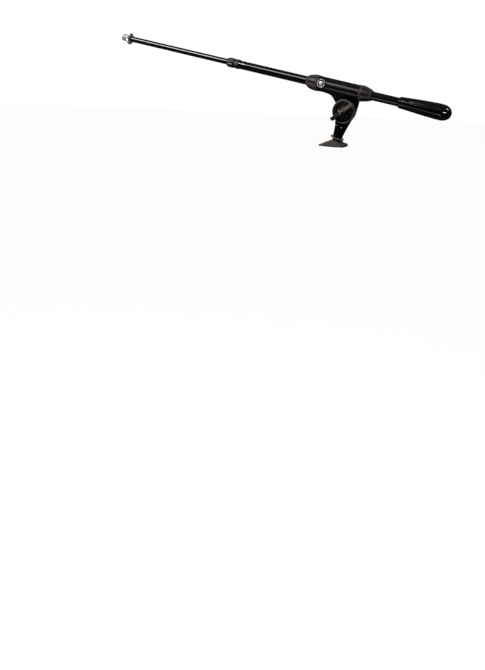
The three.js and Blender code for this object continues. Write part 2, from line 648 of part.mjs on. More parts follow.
function microphoneThread() {
  const { bore, spigotR, from, shoulder, to, chamfer } = TIP;
  const profile = [
    [bore, from], [spigotR, from], [spigotR, shoulder], [THREAD_R, shoulder],
    [THREAD_R, to - chamfer], [THREAD_R - chamfer, to], [bore, to],
  ];
  return cut(turned(profile, 22, ALONG_X), pinRound(PIN_HOLE_IN_SPIGOT));
}

addPart(axis, "inner_tube", innerTube(), GLOSS_BLACK);
addPart(axis, "inner_stop_bush", boomTube(STOP_BUSH), NYLON);
addPart(axis, "microphone_thread", microphoneThread(), CHROME);
addPart(axis, "tip_pin", pinRound(TIP_PIN), STEEL);
addPart(axis, "tip_lock_ring", lockRing(TIP_LOCK_RING, ALONG_X), CHROME);

export default boomArm;
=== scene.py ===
"""A telescoping microphone boom arm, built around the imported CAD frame.

A foot carries a leaning swivel stem. A saddle hinged on the stem holds the boom: the ribbed handle
is at its low end, towards world +X, and the microphone thread at its high end, towards -X. The tilt
knob faces the camera, towards -Y.

Shapes are made in millimetres in a local frame of their body and stored in metres. Cast and moulded
shapes are smooth implicit surfaces meshed on a grid; turned shapes are lathes.
"""

import json
import math

import bpy
import numpy as np
from mathutils import Matrix, Vector


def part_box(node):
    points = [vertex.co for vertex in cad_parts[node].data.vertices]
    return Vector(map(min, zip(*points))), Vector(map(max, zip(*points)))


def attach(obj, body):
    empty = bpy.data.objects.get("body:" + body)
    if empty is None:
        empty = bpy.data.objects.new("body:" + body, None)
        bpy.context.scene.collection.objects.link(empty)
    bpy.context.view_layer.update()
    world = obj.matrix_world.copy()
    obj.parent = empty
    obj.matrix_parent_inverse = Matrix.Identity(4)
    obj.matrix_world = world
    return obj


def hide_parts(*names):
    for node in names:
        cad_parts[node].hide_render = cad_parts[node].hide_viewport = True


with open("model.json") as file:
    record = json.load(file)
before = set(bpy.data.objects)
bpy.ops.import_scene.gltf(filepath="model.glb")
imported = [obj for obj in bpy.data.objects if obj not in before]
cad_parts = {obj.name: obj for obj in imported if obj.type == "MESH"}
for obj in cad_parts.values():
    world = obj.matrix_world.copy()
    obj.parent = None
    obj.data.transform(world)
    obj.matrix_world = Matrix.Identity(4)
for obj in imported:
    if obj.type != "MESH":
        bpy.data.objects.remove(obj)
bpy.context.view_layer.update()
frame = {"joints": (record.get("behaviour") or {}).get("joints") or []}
scene = bpy.context.scene

# ---- shared sizes, in mm -------------------------------------------------------------------------
HINGE_BORE = 4.35  # radius of the holes that the hinge bolt passes through
THREAD_RADIUS = 7.94  # the stud and the microphone thread are alike
THREAD_PITCH = 0.94
TUBE_RADIUS, TUBE_BORE = 9.5, 8.4  # outer boom
INNER_RADIUS, INNER_BORE = 6.55, 5.6  # inner boom
BADGE_AT = 66.5  # along the boom from the saddle's origin
BADGE_TILT = math.radians(10)  # turn of the badge about the boom, upwards

# ---- frames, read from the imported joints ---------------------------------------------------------
JOINTS = {joint["name"]: joint for joint in frame["joints"]}


def unit(vector):
    return np.array(vector, float) / np.linalg.norm(vector)


def joint_at(name):
    return np.array(JOINTS[name]["pos_m"], float)


def frame_of(origin, x_axis, y_axis, z_axis):
    matrix = Matrix.Identity(4)
    for i, axis in enumerate((x_axis, y_axis, z_axis)):
        for k in range(3):
            matrix[k][i] = float(axis[k])
    matrix.translation = Vector([float(value) for value in origin])
    return matrix


WORLD_Y = np.array([0.0, 1.0, 0.0])
STEM_BASE = joint_at("swivel")  # where the stem's axis meets the foot's underside
STEM_AXIS = unit(JOINTS["swivel"]["axis"])
STEM_SIDE = np.cross(WORLD_Y, STEM_AXIS)
PIVOT = joint_at("tilt")
BOOM_AXIS = unit(JOINTS["boom_slide"]["axis"])
BOOM_UP = np.cross(BOOM_AXIS, -WORLD_Y)
BOOM_AT = joint_at("boom_roll")
BOOM_RISE = float((BOOM_AT - PIVOT) @ BOOM_UP) * 1000  # boom axis above the hinge axis
PIVOT_HEIGHT = float((PIVOT - STEM_BASE) @ STEM_AXIS) * 1000  # hinge axis along the stem

# Stem and hinge: z up the stem. Saddle and boom: x towards the microphone, y to the camera, z up.
FOOT = Matrix.Translation(Vector([float(value) for value in STEM_BASE]))
STEM = frame_of(STEM_BASE, STEM_SIDE, WORLD_Y, STEM_AXIS)
HINGE = frame_of(PIVOT, STEM_SIDE, WORLD_Y, STEM_AXIS)
SADDLE = frame_of(PIVOT, BOOM_AXIS, -WORLD_Y, BOOM_UP)
BOOM = frame_of(BOOM_AT, BOOM_AXIS, -WORLD_Y, BOOM_UP)
badge_out = math.cos(BADGE_TILT) * -WORLD_Y + math.sin(BADGE_TILT) * BOOM_UP
BADGE = frame_of(
    BOOM_AT + BOOM_AXIS * BADGE_AT / 1000, BOOM_AXIS, np.cross(badge_out, BOOM_AXIS), badge_out
)


# ---- shader nodes --------------------------------------------------------------------------------
def add_node(tree, kind, inputs=None, **settings):
    """Adds a node. An input given as a socket is linked, any other is set as a value."""
    node = tree.nodes.new(kind)
    for key, value in settings.items():
        setattr(node, key, value)
    for key, value in (inputs or {}).items():
        if isinstance(value, bpy.types.NodeSocket):
            tree.links.new(value, node.inputs[key])
        else:
            node.inputs[key].default_value = value
    return node


def mix_colour(tree, factor, first, second):
    # on a colour Mix node, sockets 6 and 7 are A and B and output 2 is the colour result
    inputs = {"Factor": factor, 6: first, 7: second}
    return add_node(tree, "ShaderNodeMix", inputs, data_type="RGBA").outputs[2]


def linear(colour):
    """An sRGB colour, 0 to 255 in each channel, as linear RGBA."""

    def channel(value):
        value /= 255
        return value / 12.92 if value <= 0.04045 else ((value + 0.055) / 1.055) ** 2.4

    return (*(channel(value) for value in colour), 1)


def material(
    name, dark, light, rough, patches, grain, bump, depth, metal=0.0, spec=0.5, coat=0.0,
    coat_rough=0.05, streaks=None, wear=None, wear_at=(0.52, 0.6), speck=None,
):
    """Two colours mixed by broad noise, a roughness range mixed by a second noise, and a fine bump.

    patches, grain: noise scales of the colour and of the bump; depth: bump height in metres.
    streaks: noise scale along each local axis. wear: colour of the convex edges, where the
    pointiness is in the range wear_at. speck: noise scale, threshold and strength of pale dots.
    """
    mat = bpy.data.materials.new(name)
    mat.use_nodes = True
    tree = mat.node_tree
    tree.nodes.clear()
    place = add_node(tree, "ShaderNodeTexCoord").outputs["Object"]

    def noise(scale, detail, vector=place):
        inputs = {"Scale": scale, "Detail": detail, "Roughness": 0.55, "Vector": vector}
        return add_node(tree, "ShaderNodeTexNoise", inputs).outputs["Fac"]

    def ramp(value, low, high, to_low, to_high):
        inputs = {
            "From Min": low, "From Max": high, "To Min": to_low, "To Max": to_high, "Value": value,
        }
        return add_node(tree, "ShaderNodeMapRange", inputs).outputs["Result"]

    def maths(first, second, operation="ADD"):
        inputs = {0: first, 1: second}
        return add_node(tree, "ShaderNodeMath", inputs, operation=operation).outputs[0]

    blend = ramp(noise(patches, 4.0), 0.35, 0.65, 0, 1)
    colour = mix_colour(tree, blend, linear(dark), linear(light))
    roughness = ramp(noise(patches * 2.3, 5.0), 0.3, 0.7, *rough)
    height = noise(grain, 2.0)
    if streaks:
        stretched = add_node(tree, "ShaderNodeMapping", {"Scale": streaks, "Vector": place})
        streak = noise(1.0, 3.0, stretched.outputs["Vector"])
        colour = mix_colour(tree, ramp(streak, 0.45, 0.75, 0, 0.6), colour, linear(light))
        roughness = maths(roughness, ramp(streak, 0.3, 0.7, -0.03, 0.05))
        height = maths(height, maths(streak, 0.4, "MULTIPLY"))
    if speck:
        scale, threshold, strength = speck
        dots = ramp(noise(scale, 1.0), threshold, threshold + 0.06, 0, strength)
        colour = mix_colour(tree, dots, colour, (0.35, 0.34, 0.33, 1))
        roughness = maths(roughness, maths(dots, 0.5, "MULTIPLY"))
    if wear:
        pointiness = add_node(tree, "ShaderNodeNewGeometry").outputs["Pointiness"]
        edge = ramp(pointiness, *wear_at, 0, 1)
        broken = maths(edge, ramp(noise(420, 4.0), 0.38, 0.62, 0.15, 1), "MULTIPLY")
        colour = mix_colour(tree, broken, colour, linear(wear))
    inputs = {"Strength": bump, "Distance": depth, "Height": height}
    normal = add_node(tree, "ShaderNodeBump", inputs).outputs["Normal"]
    inputs = {
        "Metallic": metal, "Specular IOR Level": spec, "Coat Weight": coat,
        "Coat Roughness": coat_rough, "Base Color": colour, "Roughness": roughness,
        "Normal": normal,
    }
    if coat:
        inputs["Coat Normal"] = normal
    shader = add_node(tree, "ShaderNodeBsdfPrincipled", inputs)
    add_node(tree, "ShaderNodeOutputMaterial", {"Surface": shader.outputs["BSDF"]})
    return mat


# ---- materials -----------------------------------------------------------------------------------
TUBE_ENAMEL = material(
    "gloss_tube_enamel", dark=(5, 5, 6), light=(10, 9, 9), rough=(0.09, 0.12), coat=0.35,
    patches=35, grain=400, bump=0.008, depth=0.00002, streaks=(6, 260, 260),
    speck=(700, 0.78, 0.03),
)
CAST_ENAMEL = material(
    "cast_black_enamel", dark=(4, 4, 4), light=(9, 8, 8), rough=(0.22, 0.32), coat=0.2,
    coat_rough=0.12, patches=55, grain=600, bump=0.015, depth=0.00003, wear=(30, 28, 27),
    speck=(800, 0.78, 0.04),
)
STEM_ENAMEL = material(
    "stem_black_enamel", dark=(3, 3, 4), light=(6, 5, 5), rough=(0.26, 0.36), spec=0.14,
    patches=60, grain=700, bump=0.03, depth=0.00004, wear=(66, 62, 60), speck=(850, 0.76, 0.06),
)
# a pale enamel for a painted highlight on one corner of the stem's raised face
STEM_HIGHLIGHT_ENAMEL = material(
    "stem_painted_highlight_enamel", dark=(120, 115, 112), light=(158, 153, 150), rough=(0.28, 0.4), metal=0.4,
    patches=300, grain=1800, bump=0.05, depth=0.00003,
)
KNOB_PLASTIC = material(
    "moulded_black_plastic", dark=(22, 20, 20), light=(31, 28, 28), rough=(0.34, 0.44),
    patches=70, grain=1800, bump=0.10, depth=0.00005, wear=(96, 91, 87),
)
# a lighter copy of the knob plastic, used as a painted highlight on the rim and on one side of the
# bar
KNOB_PAINTED_HIGHLIGHT = material(
    "knob_painted_highlight_plastic", dark=(78, 71, 68), light=(98, 90, 86), rough=(0.26, 0.36),
    patches=140, grain=1800, bump=0.08, depth=0.00004, wear=(128, 121, 116),
)
GRIP_RUBBER = material(
    "grip_grey_rubber", dark=(51, 44, 43), light=(65, 57, 55), rough=(0.40, 0.54),
    patches=90, grain=2200, bump=0.18, depth=0.00006, wear=(122, 114, 110), wear_at=(0.53, 0.62),
)
# a darker rubber for the insides of the grip recesses, as painted shade
GRIP_RECESS_SHADE = material(
    "grip_recess_painted_shade", dark=(14, 12, 12), light=(26, 22, 22), rough=(0.45, 0.6),
    patches=120, grain=2200, bump=0.18, depth=0.00006,
)
FOOT_PLASTIC = material(
    "foot_moulded_plastic", dark=(62, 53, 49), light=(79, 68, 63), rough=(0.48, 0.64),
    patches=80, grain=1700, bump=0.22, depth=0.00007, wear=(124, 113, 105),
)
HANDLE_RUBBER = material(
    "handle_ribbed_rubber", dark=(5, 5, 6), light=(10, 8, 9), rough=(0.09, 0.13),
    patches=60, grain=1600, bump=0.012, depth=0.00002, streaks=(8, 500, 500),
)
CAP_PLASTIC = material(
    "cap_gloss_plastic", dark=(3, 3, 4), light=(7, 6, 7), rough=(0.05, 0.10), coat=0.6,
    coat_rough=0.03, patches=50, grain=500, bump=0.02, depth=0.00002, speck=(1000, 0.76, 0.08),
)
SLEEVE_PLASTIC = material(
    "sleeve_satin_plastic", dark=(17, 15, 15), light=(28, 25, 24), rough=(0.28, 0.40),
    patches=110, grain=2200, bump=0.12, depth=0.00004, wear=(116, 109, 105),
)
COLLAR_PLASTIC = material(
    "collar_grey_plastic", dark=(32, 28, 27), light=(46, 41, 39), rough=(0.24, 0.36),
    patches=110, grain=2200, bump=0.12, depth=0.00004, wear=(150, 143, 138),
)
BLACK_STEEL = material(
    "black_oxide_steel", dark=(26, 25, 25), light=(44, 42, 41), rough=(0.30, 0.42), metal=0.6,
    patches=180, grain=2600, bump=0.10, depth=0.00003, wear=(150, 146, 142),
)
DISC_STEEL = material(
    "disc_blackened_steel", dark=(120, 113, 108), light=(156, 148, 142), rough=(0.26, 0.38),
    metal=0.5, patches=120, grain=2000, bump=0.08, depth=0.00003, wear=(196, 190, 184),
)
CHROME = material(
    "bright_chrome", dark=(206, 208, 212), light=(232, 233, 236), rough=(0.12, 0.24), metal=0.6,
    patches=160, grain=1800, bump=0.06, depth=0.00002,
)
ZINC_STEEL = material(
    "zinc_plated_steel", dark=(150, 151, 155), light=(190, 188, 182), rough=(0.24, 0.38),
    metal=1, patches=140, grain=2400, bump=0.2, depth=0.00003, wear=(214, 212, 208),
)
BARE_STEEL = material(
    "bare_turned_steel", dark=(112, 110, 108), light=(148, 144, 140), rough=(0.30, 0.48),
    metal=1, patches=90, grain=1500, bump=0.2, depth=0.00004, streaks=(900, 30, 30),
)
BRASS = material(
    "turned_brass", dark=(176, 138, 72), light=(206, 168, 96), rough=(0.22, 0.36), metal=1,
    patches=150, grain=2400, bump=0.15, depth=0.00003,
)
NYLON = material(
    "natural_nylon", dark=(206, 200, 184), light=(224, 219, 205), rough=(0.42, 0.56),
    patches=120, grain=2600, bump=0.3, depth=0.00004,
)
FIBRE = material(
    "friction_fibre", dark=(84, 50, 36), light=(128, 78, 54), rough=(0.72, 0.88),
    patches=420, grain=3600, bump=0.8, depth=0.0001, streaks=(1200, 300, 1200),
)
BADGE_LACQUER = material(
    "badge_black_lacquer", dark=(6, 6, 7), light=(14, 13, 14), rough=(0.05, 0.12), coat=0.6,
    coat_rough=0.03, patches=140, grain=1200, bump=0.02, depth=0.00002,
)


# ---- making a piece ------------------------------------------------------------------------------
def signed_volume(verts, faces):
    """Six times the volume inside the triangles and quads, negative when they face inwards."""
    total = 0.0
    for n in (3, 4):
        group = np.array([face for face in faces if len(face) == n], int)
        if len(group):
            first = verts[group[:, 0]]
            for i in range(1, n - 1):
                normal = np.cross(verts[group[:, i]], verts[group[:, i + 1]])
                total += float(np.einsum("ij,ij->i", first, normal).sum())
    return total


def piece(name, node, body, finish, place, shape, patch=None, sharp=38.0):
    """Makes an object from shape, (vertices in mm, faces, normals or None), links it into the scene,
    parents it to its body and hides its CAD part.

    patch is a second material and a function that tells which face centres, in mm, have it.
    """
    verts, faces, normals = shape
    verts = np.asarray(verts, float) / 1000
    if signed_volume(verts, faces) < 0:
        faces = [tuple(reversed(face)) for face in faces]
    mesh = bpy.data.meshes.new(name)
    mesh.from_pydata(verts.tolist(), [], [tuple(map(int, face)) for face in faces])
    mesh.validate()
    mesh.polygons.foreach_set("use_smooth", [True] * len(mesh.polygons))
    mesh.materials.append(finish)
    if patch:
        second_finish, inside = patch
        mesh.materials.append(second_finish)
        centres = np.zeros(len(mesh.polygons) * 3)
        mesh.polygons.foreach_get("center", centres)
        chosen = inside(centres.reshape(-1, 3) * 1000).astype(int)
        mesh.polygons.foreach_set("material_index", chosen.tolist())
    mesh.update()
    if normals is None:
        mesh.set_sharp_from_angle(angle=math.radians(sharp))
    else:
        mesh.normals_split_custom_set_from_vertices(normals.tolist())
    obj = bpy.data.objects.new(name, mesh)
    scene.collection.objects.link(obj)
    obj.matrix_world = place
    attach(obj, body)
    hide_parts(node)
    return obj


# ---- outlines and lathes -------------------------------------------------------------------------
def fillet(points, rounding, steps=4, closed=True):
    """Rounds each corner of a polyline. rounding is one radius, or one for each point."""
    points = [np.array(point, float) for point in points]
    count = len(points)
    radii = [rounding] * count if isinstance(rounding, (int, float)) else rounding
    out = []
    for i, corner in enumerate(points):
        if not closed and i in (0, count - 1):
            out.append(tuple(corner))
            continue
        back, ahead = points[i - 1] - corner, points[(i + 1) % count] - corner
        back_length, ahead_length = np.linalg.norm(back), np.linalg.norm(ahead)
        back, ahead = back / back_length, ahead / ahead_length
        angle = math.acos(max(-1.0, min(1.0, float(back @ ahead))))
        if radii[i] <= 0 or angle > math.radians(172) or angle < 1e-3:
            out.append(tuple(corner))
            continue
        reach = min(radii[i] / math.tan(angle / 2), 0.46 * back_length, 0.46 * ahead_length)
        radius = reach * math.tan(angle / 2)
        start, end = corner + back * reach, corner + ahead * reach
        middle = (back + ahead) / np.linalg.norm(back + ahead)
        centre = corner + middle * (radius / math.sin(angle / 2))
        from_angle = math.atan2(*(start - centre)[::-1])
        to_angle = math.atan2(*(end - centre)[::-1])
        sweep = (to_angle - from_angle + math.pi) % (2 * math.pi) - math.pi
        for k in range(steps + 1):
            turn = from_angle + sweep * k / steps
            out.append((centre[0] + radius * math.cos(turn), centre[1] + radius * math.sin(turn)))
    return out


def resample(points, step, closed=True):
    """Splits the long edges of a polyline into pieces of at most step."""
    out = []
    count = len(points)
    for i in range(count if closed else count - 1):
        start, end = np.array(points[i], float), np.array(points[(i + 1) % count], float)
        parts = max(1, int(math.ceil(np.linalg.norm(end - start) / step)))
        for j in range(parts):
            out.append(tuple(start + (end - start) * j / parts))
    if not closed:
        out.append(tuple(points[-1]))
    return out


def lathe(profile, segments, axis, shift=None, gap=0.0):
    """Turned mesh from (radius, height) points. It is closed on itself unless both ends lie on the
    axis. shift(angle, height, radius) moves the surface outwards. gap is a slit, in radians."""
    points = np.array(profile, float)
    on_axis = points[0, 0] < 1e-6 and points[-1, 0] < 1e-6
    if gap:
        angles = np.linspace(gap / 2, 2 * math.pi - gap / 2, segments + 1)
    else:
        angles = 2 * math.pi * np.arange(segments) / segments
    cols = len(angles)
    radius = np.repeat(points[:, :1], cols, 1)
    height = np.repeat(points[:, 1:], cols, 1)
    if shift is not None:
        moved = radius + shift(angles[None, :], height, radius)
        radius = np.where(radius > 1e-6, moved, radius)
    across, up = radius * np.cos(angles), radius * np.sin(angles)
    placed = {"x": (height, across, up), "z": (across, up, height), "-y": (across, -height, up)}
    verts = np.stack(placed[axis], -1).reshape(-1, 3)
    count = len(points)
    faces = []
    for i in range(count - 1 if on_axis else count):
        j = (i + 1) % count
        for k in range(cols - 1 if gap else cols):
            m = (k + 1) % cols
            if on_axis and i == 0:
                faces.append((0, j * cols + k, j * cols + m))
            elif on_axis and j == count - 1:
                faces.append((i * cols + k, j * cols, i * cols + m))
            else:
                faces.append((i * cols + k, j * cols + k, j * cols + m, i * cols + m))
    if gap:
        faces.append(tuple(i * cols for i in range(count)))
        faces.append(tuple(i * cols + cols - 1 for i in reversed(range(count))))
    used = np.zeros(len(verts), bool)
    for face in faces:
        used[list(face)] = True
    index = np.cumsum(used) - 1
    return verts[used], [tuple(int(index[i]) for i in face) for face in faces], None


def step01(value):
    """A smooth step from 0 to 1."""
    value = np.clip(value, 0, 1)
    return value * value * (3 - 2 * value)


def between(value, low, high, rise, fall):
    """1 between low and high, easing to 0 at both over the widths rise and fall."""
    return step01((value - low) / rise) * step01((high - value) / fall)


def bell(value, centre, width):
    return np.exp(-(((value - centre) / width) ** 2))


def waves(angle, count, power=2, phase=0):
    """count rounded crests round a full turn, from 0 to 1."""
    return (0.5 + 0.5 * np.cos(count * angle + phase)) ** power


def serrate(count, depth, beyond):
    """Fine teeth cut into the part of a lathe whose radius is over beyond."""
    return lambda angle, height, radius: -depth * (radius > beyond) * waves(angle, count)


def thread(depth, start, end, beyond):
    """A thread cut between two heights into the part whose radius is over beyond."""

    def shift(angle, height, radius):
        phase = (height / THREAD_PITCH - angle / (2 * math.pi)) % 1.0
        tooth = step01(np.clip(np.abs(phase * 2 - 1) * 1.25 - 0.1, 0, 1))
        fade = between(height, start, end, 1.2 * THREAD_PITCH, 1.2 * THREAD_PITCH)
        return -depth * tooth * fade * (radius > beyond)

    return shift


# ---- implicit shapes: signed distances, negative inside ------------------------------------------
def join(first, second, blend):
    """Smooth union."""
    near = np.maximum(blend - np.abs(first - second), 0) / blend
    return np.minimum(first, second) - near * near * blend * 0.25


def meet(first, second, blend):
    """Smooth intersection."""
    return -join(-first, -second, blend)


def carve(solid, tool, blend):
    """Smooth cut of tool out of solid."""
    return meet(solid, -tool, blend)


def radial(x, y):
    return np.sqrt(x * x + y * y)


def hexagon(x, y, apothem):
    slant = np.abs(x) * math.cos(math.radians(30)) + np.abs(y) * math.sin(math.radians(30))
    return np.maximum(slant, np.abs(y)) - apothem


def poly(x, y, outline):
    """Distance to a closed outline. With a radius as x it gives a turned shape, whose outline may
    cross the axis to a negative radius."""
    points = np.array(outline, float)
    x, y = np.broadcast_arrays(x, y)
    best = np.full(x.shape, 1e18)
    inside = np.zeros(x.shape, bool)
    for i in range(len(points)):
        start_x, start_y = points[i]
        end_x, end_y = points[i - 1]
        edge_x, edge_y = end_x - start_x, end_y - start_y
        from_x, from_y = x - start_x, y - start_y
        length2 = max(edge_x * edge_x + edge_y * edge_y, 1e-12)
        along = np.clip((from_x * edge_x + from_y * edge_y) / length2, 0, 1)
        best = np.minimum(best, (from_x - edge_x * along) ** 2 + (from_y - edge_y * along) ** 2)
        crosses = (y >= start_y) != (y >= end_y)
        with np.errstate(divide="ignore", invalid="ignore"):
            side = x < start_x + (y - start_y) * (edge_x / edge_y if edge_y else 0.0)
        inside ^= crosses & side
    return np.where(inside, -1, 1) * np.sqrt(best)


CUBE = [(i, j, k) for i in (0, 1) for j in (0, 1) for k in (0, 1)]


def at_corner(grid, corner):
    """The grid's value at one corner of every cell."""
    return grid[tuple(slice(c, n - 1 + c) for n, c in zip(grid.shape, corner))]


def crossing_points(values, active):
    """For each active cell, the mean of the zero crossings on its edges, in grid units."""
    cells = np.argwhere(active)
    at = {corner: at_corner(values, corner)[active] for corner in CUBE}
    total, hits = np.zeros((len(cells), 3)), np.zeros(len(cells))
    for start in CUBE:
        for axis in range(3):
            if start[axis]:
                continue
            first, last = at[start], at[tuple(start[i] + (i == axis) for i in range(3))]
            crossed = (first < 0) != (last < 0)
            part = np.where(crossed, first / np.where(crossed, first - last, 1), 0)
            point = np.repeat(np.array(start, float)[None], len(cells), 0)
            point[:, axis] += part
            total += point * crossed[:, None]
            hits += crossed
    return cells + total / hits[:, None]


def crossing_quads(inside, active):
    """A quad through the four cells round each grid edge that crosses the surface."""
    size = inside.shape
    ids = np.full(active.shape, -1, np.int64)
    ids[active] = np.arange(int(active.sum()))
    quads = []
    for axis in range(3):
        others = [i for i in range(3) if i != axis]
        low = [slice(None)] * 3
        high = [slice(None)] * 3
        low[axis], high[axis] = slice(0, size[axis] - 1), slice(1, size[axis])
        first, last = inside[tuple(low)], inside[tuple(high)]
        where = np.argwhere(first != last)
        keep = np.ones(len(where), bool)
        for other in others:
            keep &= (where[:, other] > 0) & (where[:, other] < size[other] - 1)
        where = where[keep]
        ring = []
        for back in ((0, 0), (1, 0), (1, 1), (0, 1)):
            cell = where.copy()
            cell[:, others] -= back
            ring.append(ids[cell[:, 0], cell[:, 1], cell[:, 2]])
        quad = np.stack(ring, -1)
        flip = first[where[:, 0], where[:, 1], where[:, 2]] ^ (axis == 1)
        quad[flip] = quad[flip][:, ::-1]
        quads.append(quad)
    return np.concatenate(quads)


def gradient(field, points, reach=0.02):
    slope = np.zeros_like(points)
    for i in range(3):
        offset = np.zeros(3)
        offset[i] = reach
        slope[:, i] = (field(*(points + offset).T) - field(*(points - offset).T)) / (2 * reach)
    return slope


def settle(field, points, pitch, times):
    """Moves points down the gradient onto the surface, at most 0.6 of the pitch at a time."""
    for _ in range(times):
        slope = gradient(field, points)
        move = field(*points.T)[:, None] * slope
        move /= np.maximum((slope * slope).sum(1), 0.05)[:, None]
        length = np.linalg.norm(move, axis=1)
        move *= np.minimum(1, 0.6 * pitch / np.maximum(length, 1e-9))[:, None]
        points = points - move
    return points


def surface(field, low, high, pitch):
    """Meshes field(x, y, z) = 0 between low and high on a grid, then evens out the points."""
    low, high = np.array(low, float), np.array(high, float)
    size = np.ceil((high - low) / pitch).astype(int) + 1
    x, y, z = (low[i] + pitch * np.arange(size[i]) for i in range(3))
    values = field(x[:, None, None], y[None, :, None], z[None, None, :])
    values = np.array(np.broadcast_to(values, size), np.float64)
    inside = values < 0
    count = sum(at_corner(inside, corner).astype(np.uint8) for corner in CUBE)
    active = (count > 0) & (count < 8)
    verts = low + pitch * crossing_points(values, active)
    quads = crossing_quads(inside, active)
    edges = np.concatenate([quads[:, [i, (i + 1) % 4]] for i in range(4)])
    degree = np.bincount(edges.ravel(), minlength=len(verts)).astype(float)
    verts = settle(field, verts, pitch, 3)
    for _ in range(3):
        near = np.zeros_like(verts)
        for i in range(3):
            near[:, i] = np.bincount(
                edges[:, 0], verts[edges[:, 1], i], len(verts)
            ) + np.bincount(edges[:, 1], verts[edges[:, 0], i], len(verts))
        verts = settle(field, verts + 0.55 * (near / degree[:, None] - verts), pitch, 2)
    slope = gradient(field, verts)
    normals = slope / np.maximum(np.linalg.norm(slope, axis=1), 1e-9)[:, None]
    return verts, [tuple(quad) for quad in quads.tolist()], normals


# ---- foot: flat underside at z = 0, a ramp down towards -x ---------------------------------------
HALF_PLAN = [  # x, half-width
    (-38.5, 2.2), (-36.7, 5.2), (-33, 7.6), (-24, 10.2), (-14, 14.6), (-5, 17.8), (3, 19),
    (14, 19), (22, 18.4), (26.6, 16), (29, 11.5),
]
FOOT_PLAN = fillet([(x, -y) for x, y in HALF_PLAN] + HALF_PLAN[::-1], 9, 3)
FOOT_SIDE = fillet(  # x, z
    [
        (-39.6, 0), (30, 0), (30, 5.2), (27, 6.6), (17.6, 7.0), (14.2, 11.2), (8, 12.9),
        (-3.4, 16), (-39.6, 1.8),
    ],
    rounding=[0, 0, 0, 2, 3, 2, 2, 3, 0], steps=3,
)
FOOT_SCREWS = [  # name, x, y, floor of the head's pocket
    ("foot_screw_front", -19.4, 0.0, 6.9),
    ("foot_screw_rear_left", 22.0, 12.0, 4.2),
    ("foot_screw_rear_right", 22.0, -12.0, 4.2),
]


def foot_shape(x, y, z):
    lean_sin, lean_cos = float(STEM_AXIS[0]), float(STEM_AXIS[2])
    height = x * lean_sin + z * lean_cos  # along the stem
    radius = radial(x * lean_cos - z * lean_sin, y)  # from the stem's axis
    solid = meet(poly(x, y, FOOT_PLAN), poly(x, z, FOOT_SIDE), 1.8)
    # two shallow flutes run up the ramp, one each side of the screw
    flute = meet(
        np.abs(np.abs(y) - (9.2 + 0.19 * (x + 14))) - 1.1,
        np.abs(z - (1.8 + 0.3944 * (x + 39.5))) - 0.55,
        0.7,
    )
    solid = carve(solid, meet(flute, np.abs(x + 13) - 13, 1.5), 0.6)
    # a tapered seat round the stem's axis, with a counterbore and a stud hole
    seat = meet(radius - (9.6 + 0.152 * (15.2 - height)), height - 15.2, 0.7)
    solid = join(solid, meet(seat, 6 - height, 1), 2.2)
    solid = carve(solid, meet(radius - 11.6, height - 10.6, 0.4), 0.4)
    solid = carve(solid, radius - 5.3, 0.5)
    for _, screw_x, screw_y, floor_z in FOOT_SCREWS:
        away = radial(x - screw_x, y - screw_y)
        solid = carve(solid, join(away - 2.4, meet(away - 4.7, floor_z - z, 0.4), 0.3), 0.6)
    return solid


piece(
    "foot_moulding", "mounting_foot", "foot", FOOT_PLASTIC, FOOT,
    surface(foot_shape, (-39.6, -20.2, -0.8), (30.2, 20.2, 18.6), 0.55),
)


def cross_recess(x, y, z, top, half_length=2.0):
    """A tapered cross recess, 1.9 deep, in the top of a screw head."""
    taper = 0.28 * (top - z)
    half_width = 0.62 - 0.3 * taper
    along_y = meet(np.abs(x) - half_width, np.abs(y) - (half_length - taper), 0.3)
    along_x = meet(np.abs(y) - half_width, np.abs(x) - (half_length - taper), 0.3)
    return meet(join(along_y, along_x, 0.3), (top - 1.9) - z, 0.3)


SCREW_REACH = -float(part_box("foot_screw_front")[0].z) * 1000  # below the underside


def foot_screw(name, at_x, at_y, floor_z):
    base = floor_z + 0.3
    top = base + 3.3
    outline = fillet(
        [
            (-6, -SCREW_REACH), (1.2, -SCREW_REACH), (2.0, -SCREW_REACH + 1.2), (2.0, base),
            (3.9, base), (3.9, base + 1.7), (3.0, base + 2.8), (1.6, base + 3.25), (-6, top),
        ],
        rounding=[0, 0, 0, 0.2, 0.25, 0.9, 1.5, 2, 0],
    )

    def screw_shape(x, y, z):
        x, y = x - at_x, y - at_y
        return carve(poly(radial(x, y), z, outline), cross_recess(x, y, z, top), 0.25)

    low = (at_x - 4.4, at_y - 4.4, -SCREW_REACH - 0.6)
    high = (at_x + 4.4, at_y + 4.4, base + 3.9)
    piece(
        name + "_finish", name, "foot", BLACK_STEEL, FOOT,
        surface(screw_shape, low, high, 0.24),
    )


for screw in FOOT_SCREWS:
    foot_screw(*screw)

# ---- stud, washer, nut and lock disc -------------------------------------------------------------
STUD = fillet(  # radius, height; so are all the turned outlines below
    [
        (0, 3.9), (4.2, 3.9), (5, 4.7), (5, 15.4), (9.3, 15.4), (9.3, 19.6), (THREAD_RADIUS, 19.6),
        (THREAD_RADIUS, 41.3), (6.74, 42.5), (0, 42.5),
    ],
    rounding=[0, 0.2, 0.2, 0, 0.5, 0.6, 0, 0.3, 0.3, 0], closed=False,
)
piece(
    "stud_with_shoulder", "thread_stud", "foot", BLACK_STEEL, STEM,
    lathe(
        resample(STUD, 0.24, closed=False), 56, "z",
        thread(depth=0.5, start=20.2, end=41.8, beyond=7.6),
    ),
)
piece(
    "stud_plain_washer", "stud_washer", "foot", ZINC_STEEL, STEM,
    lathe(fillet([(5.3, 9.2), (10.6, 9.2), (10.6, 10.4), (5.3, 10.4)], 0.3), 64, "z"),
)


def nut_shape(x, y, z):
    radius = radial(x, y)
    from_middle = np.abs(z - 6.5)
    solid = meet(hexagon(x, y, 8.487), from_middle - 2.5, 0.3)
    # chamfered corners, then the bore
    solid = meet(solid, (radius - 9.5 + np.maximum(from_middle - 1.7, -3)) * 0.75, 0.3)
    return carve(solid, radius - 5.3, 0.3)


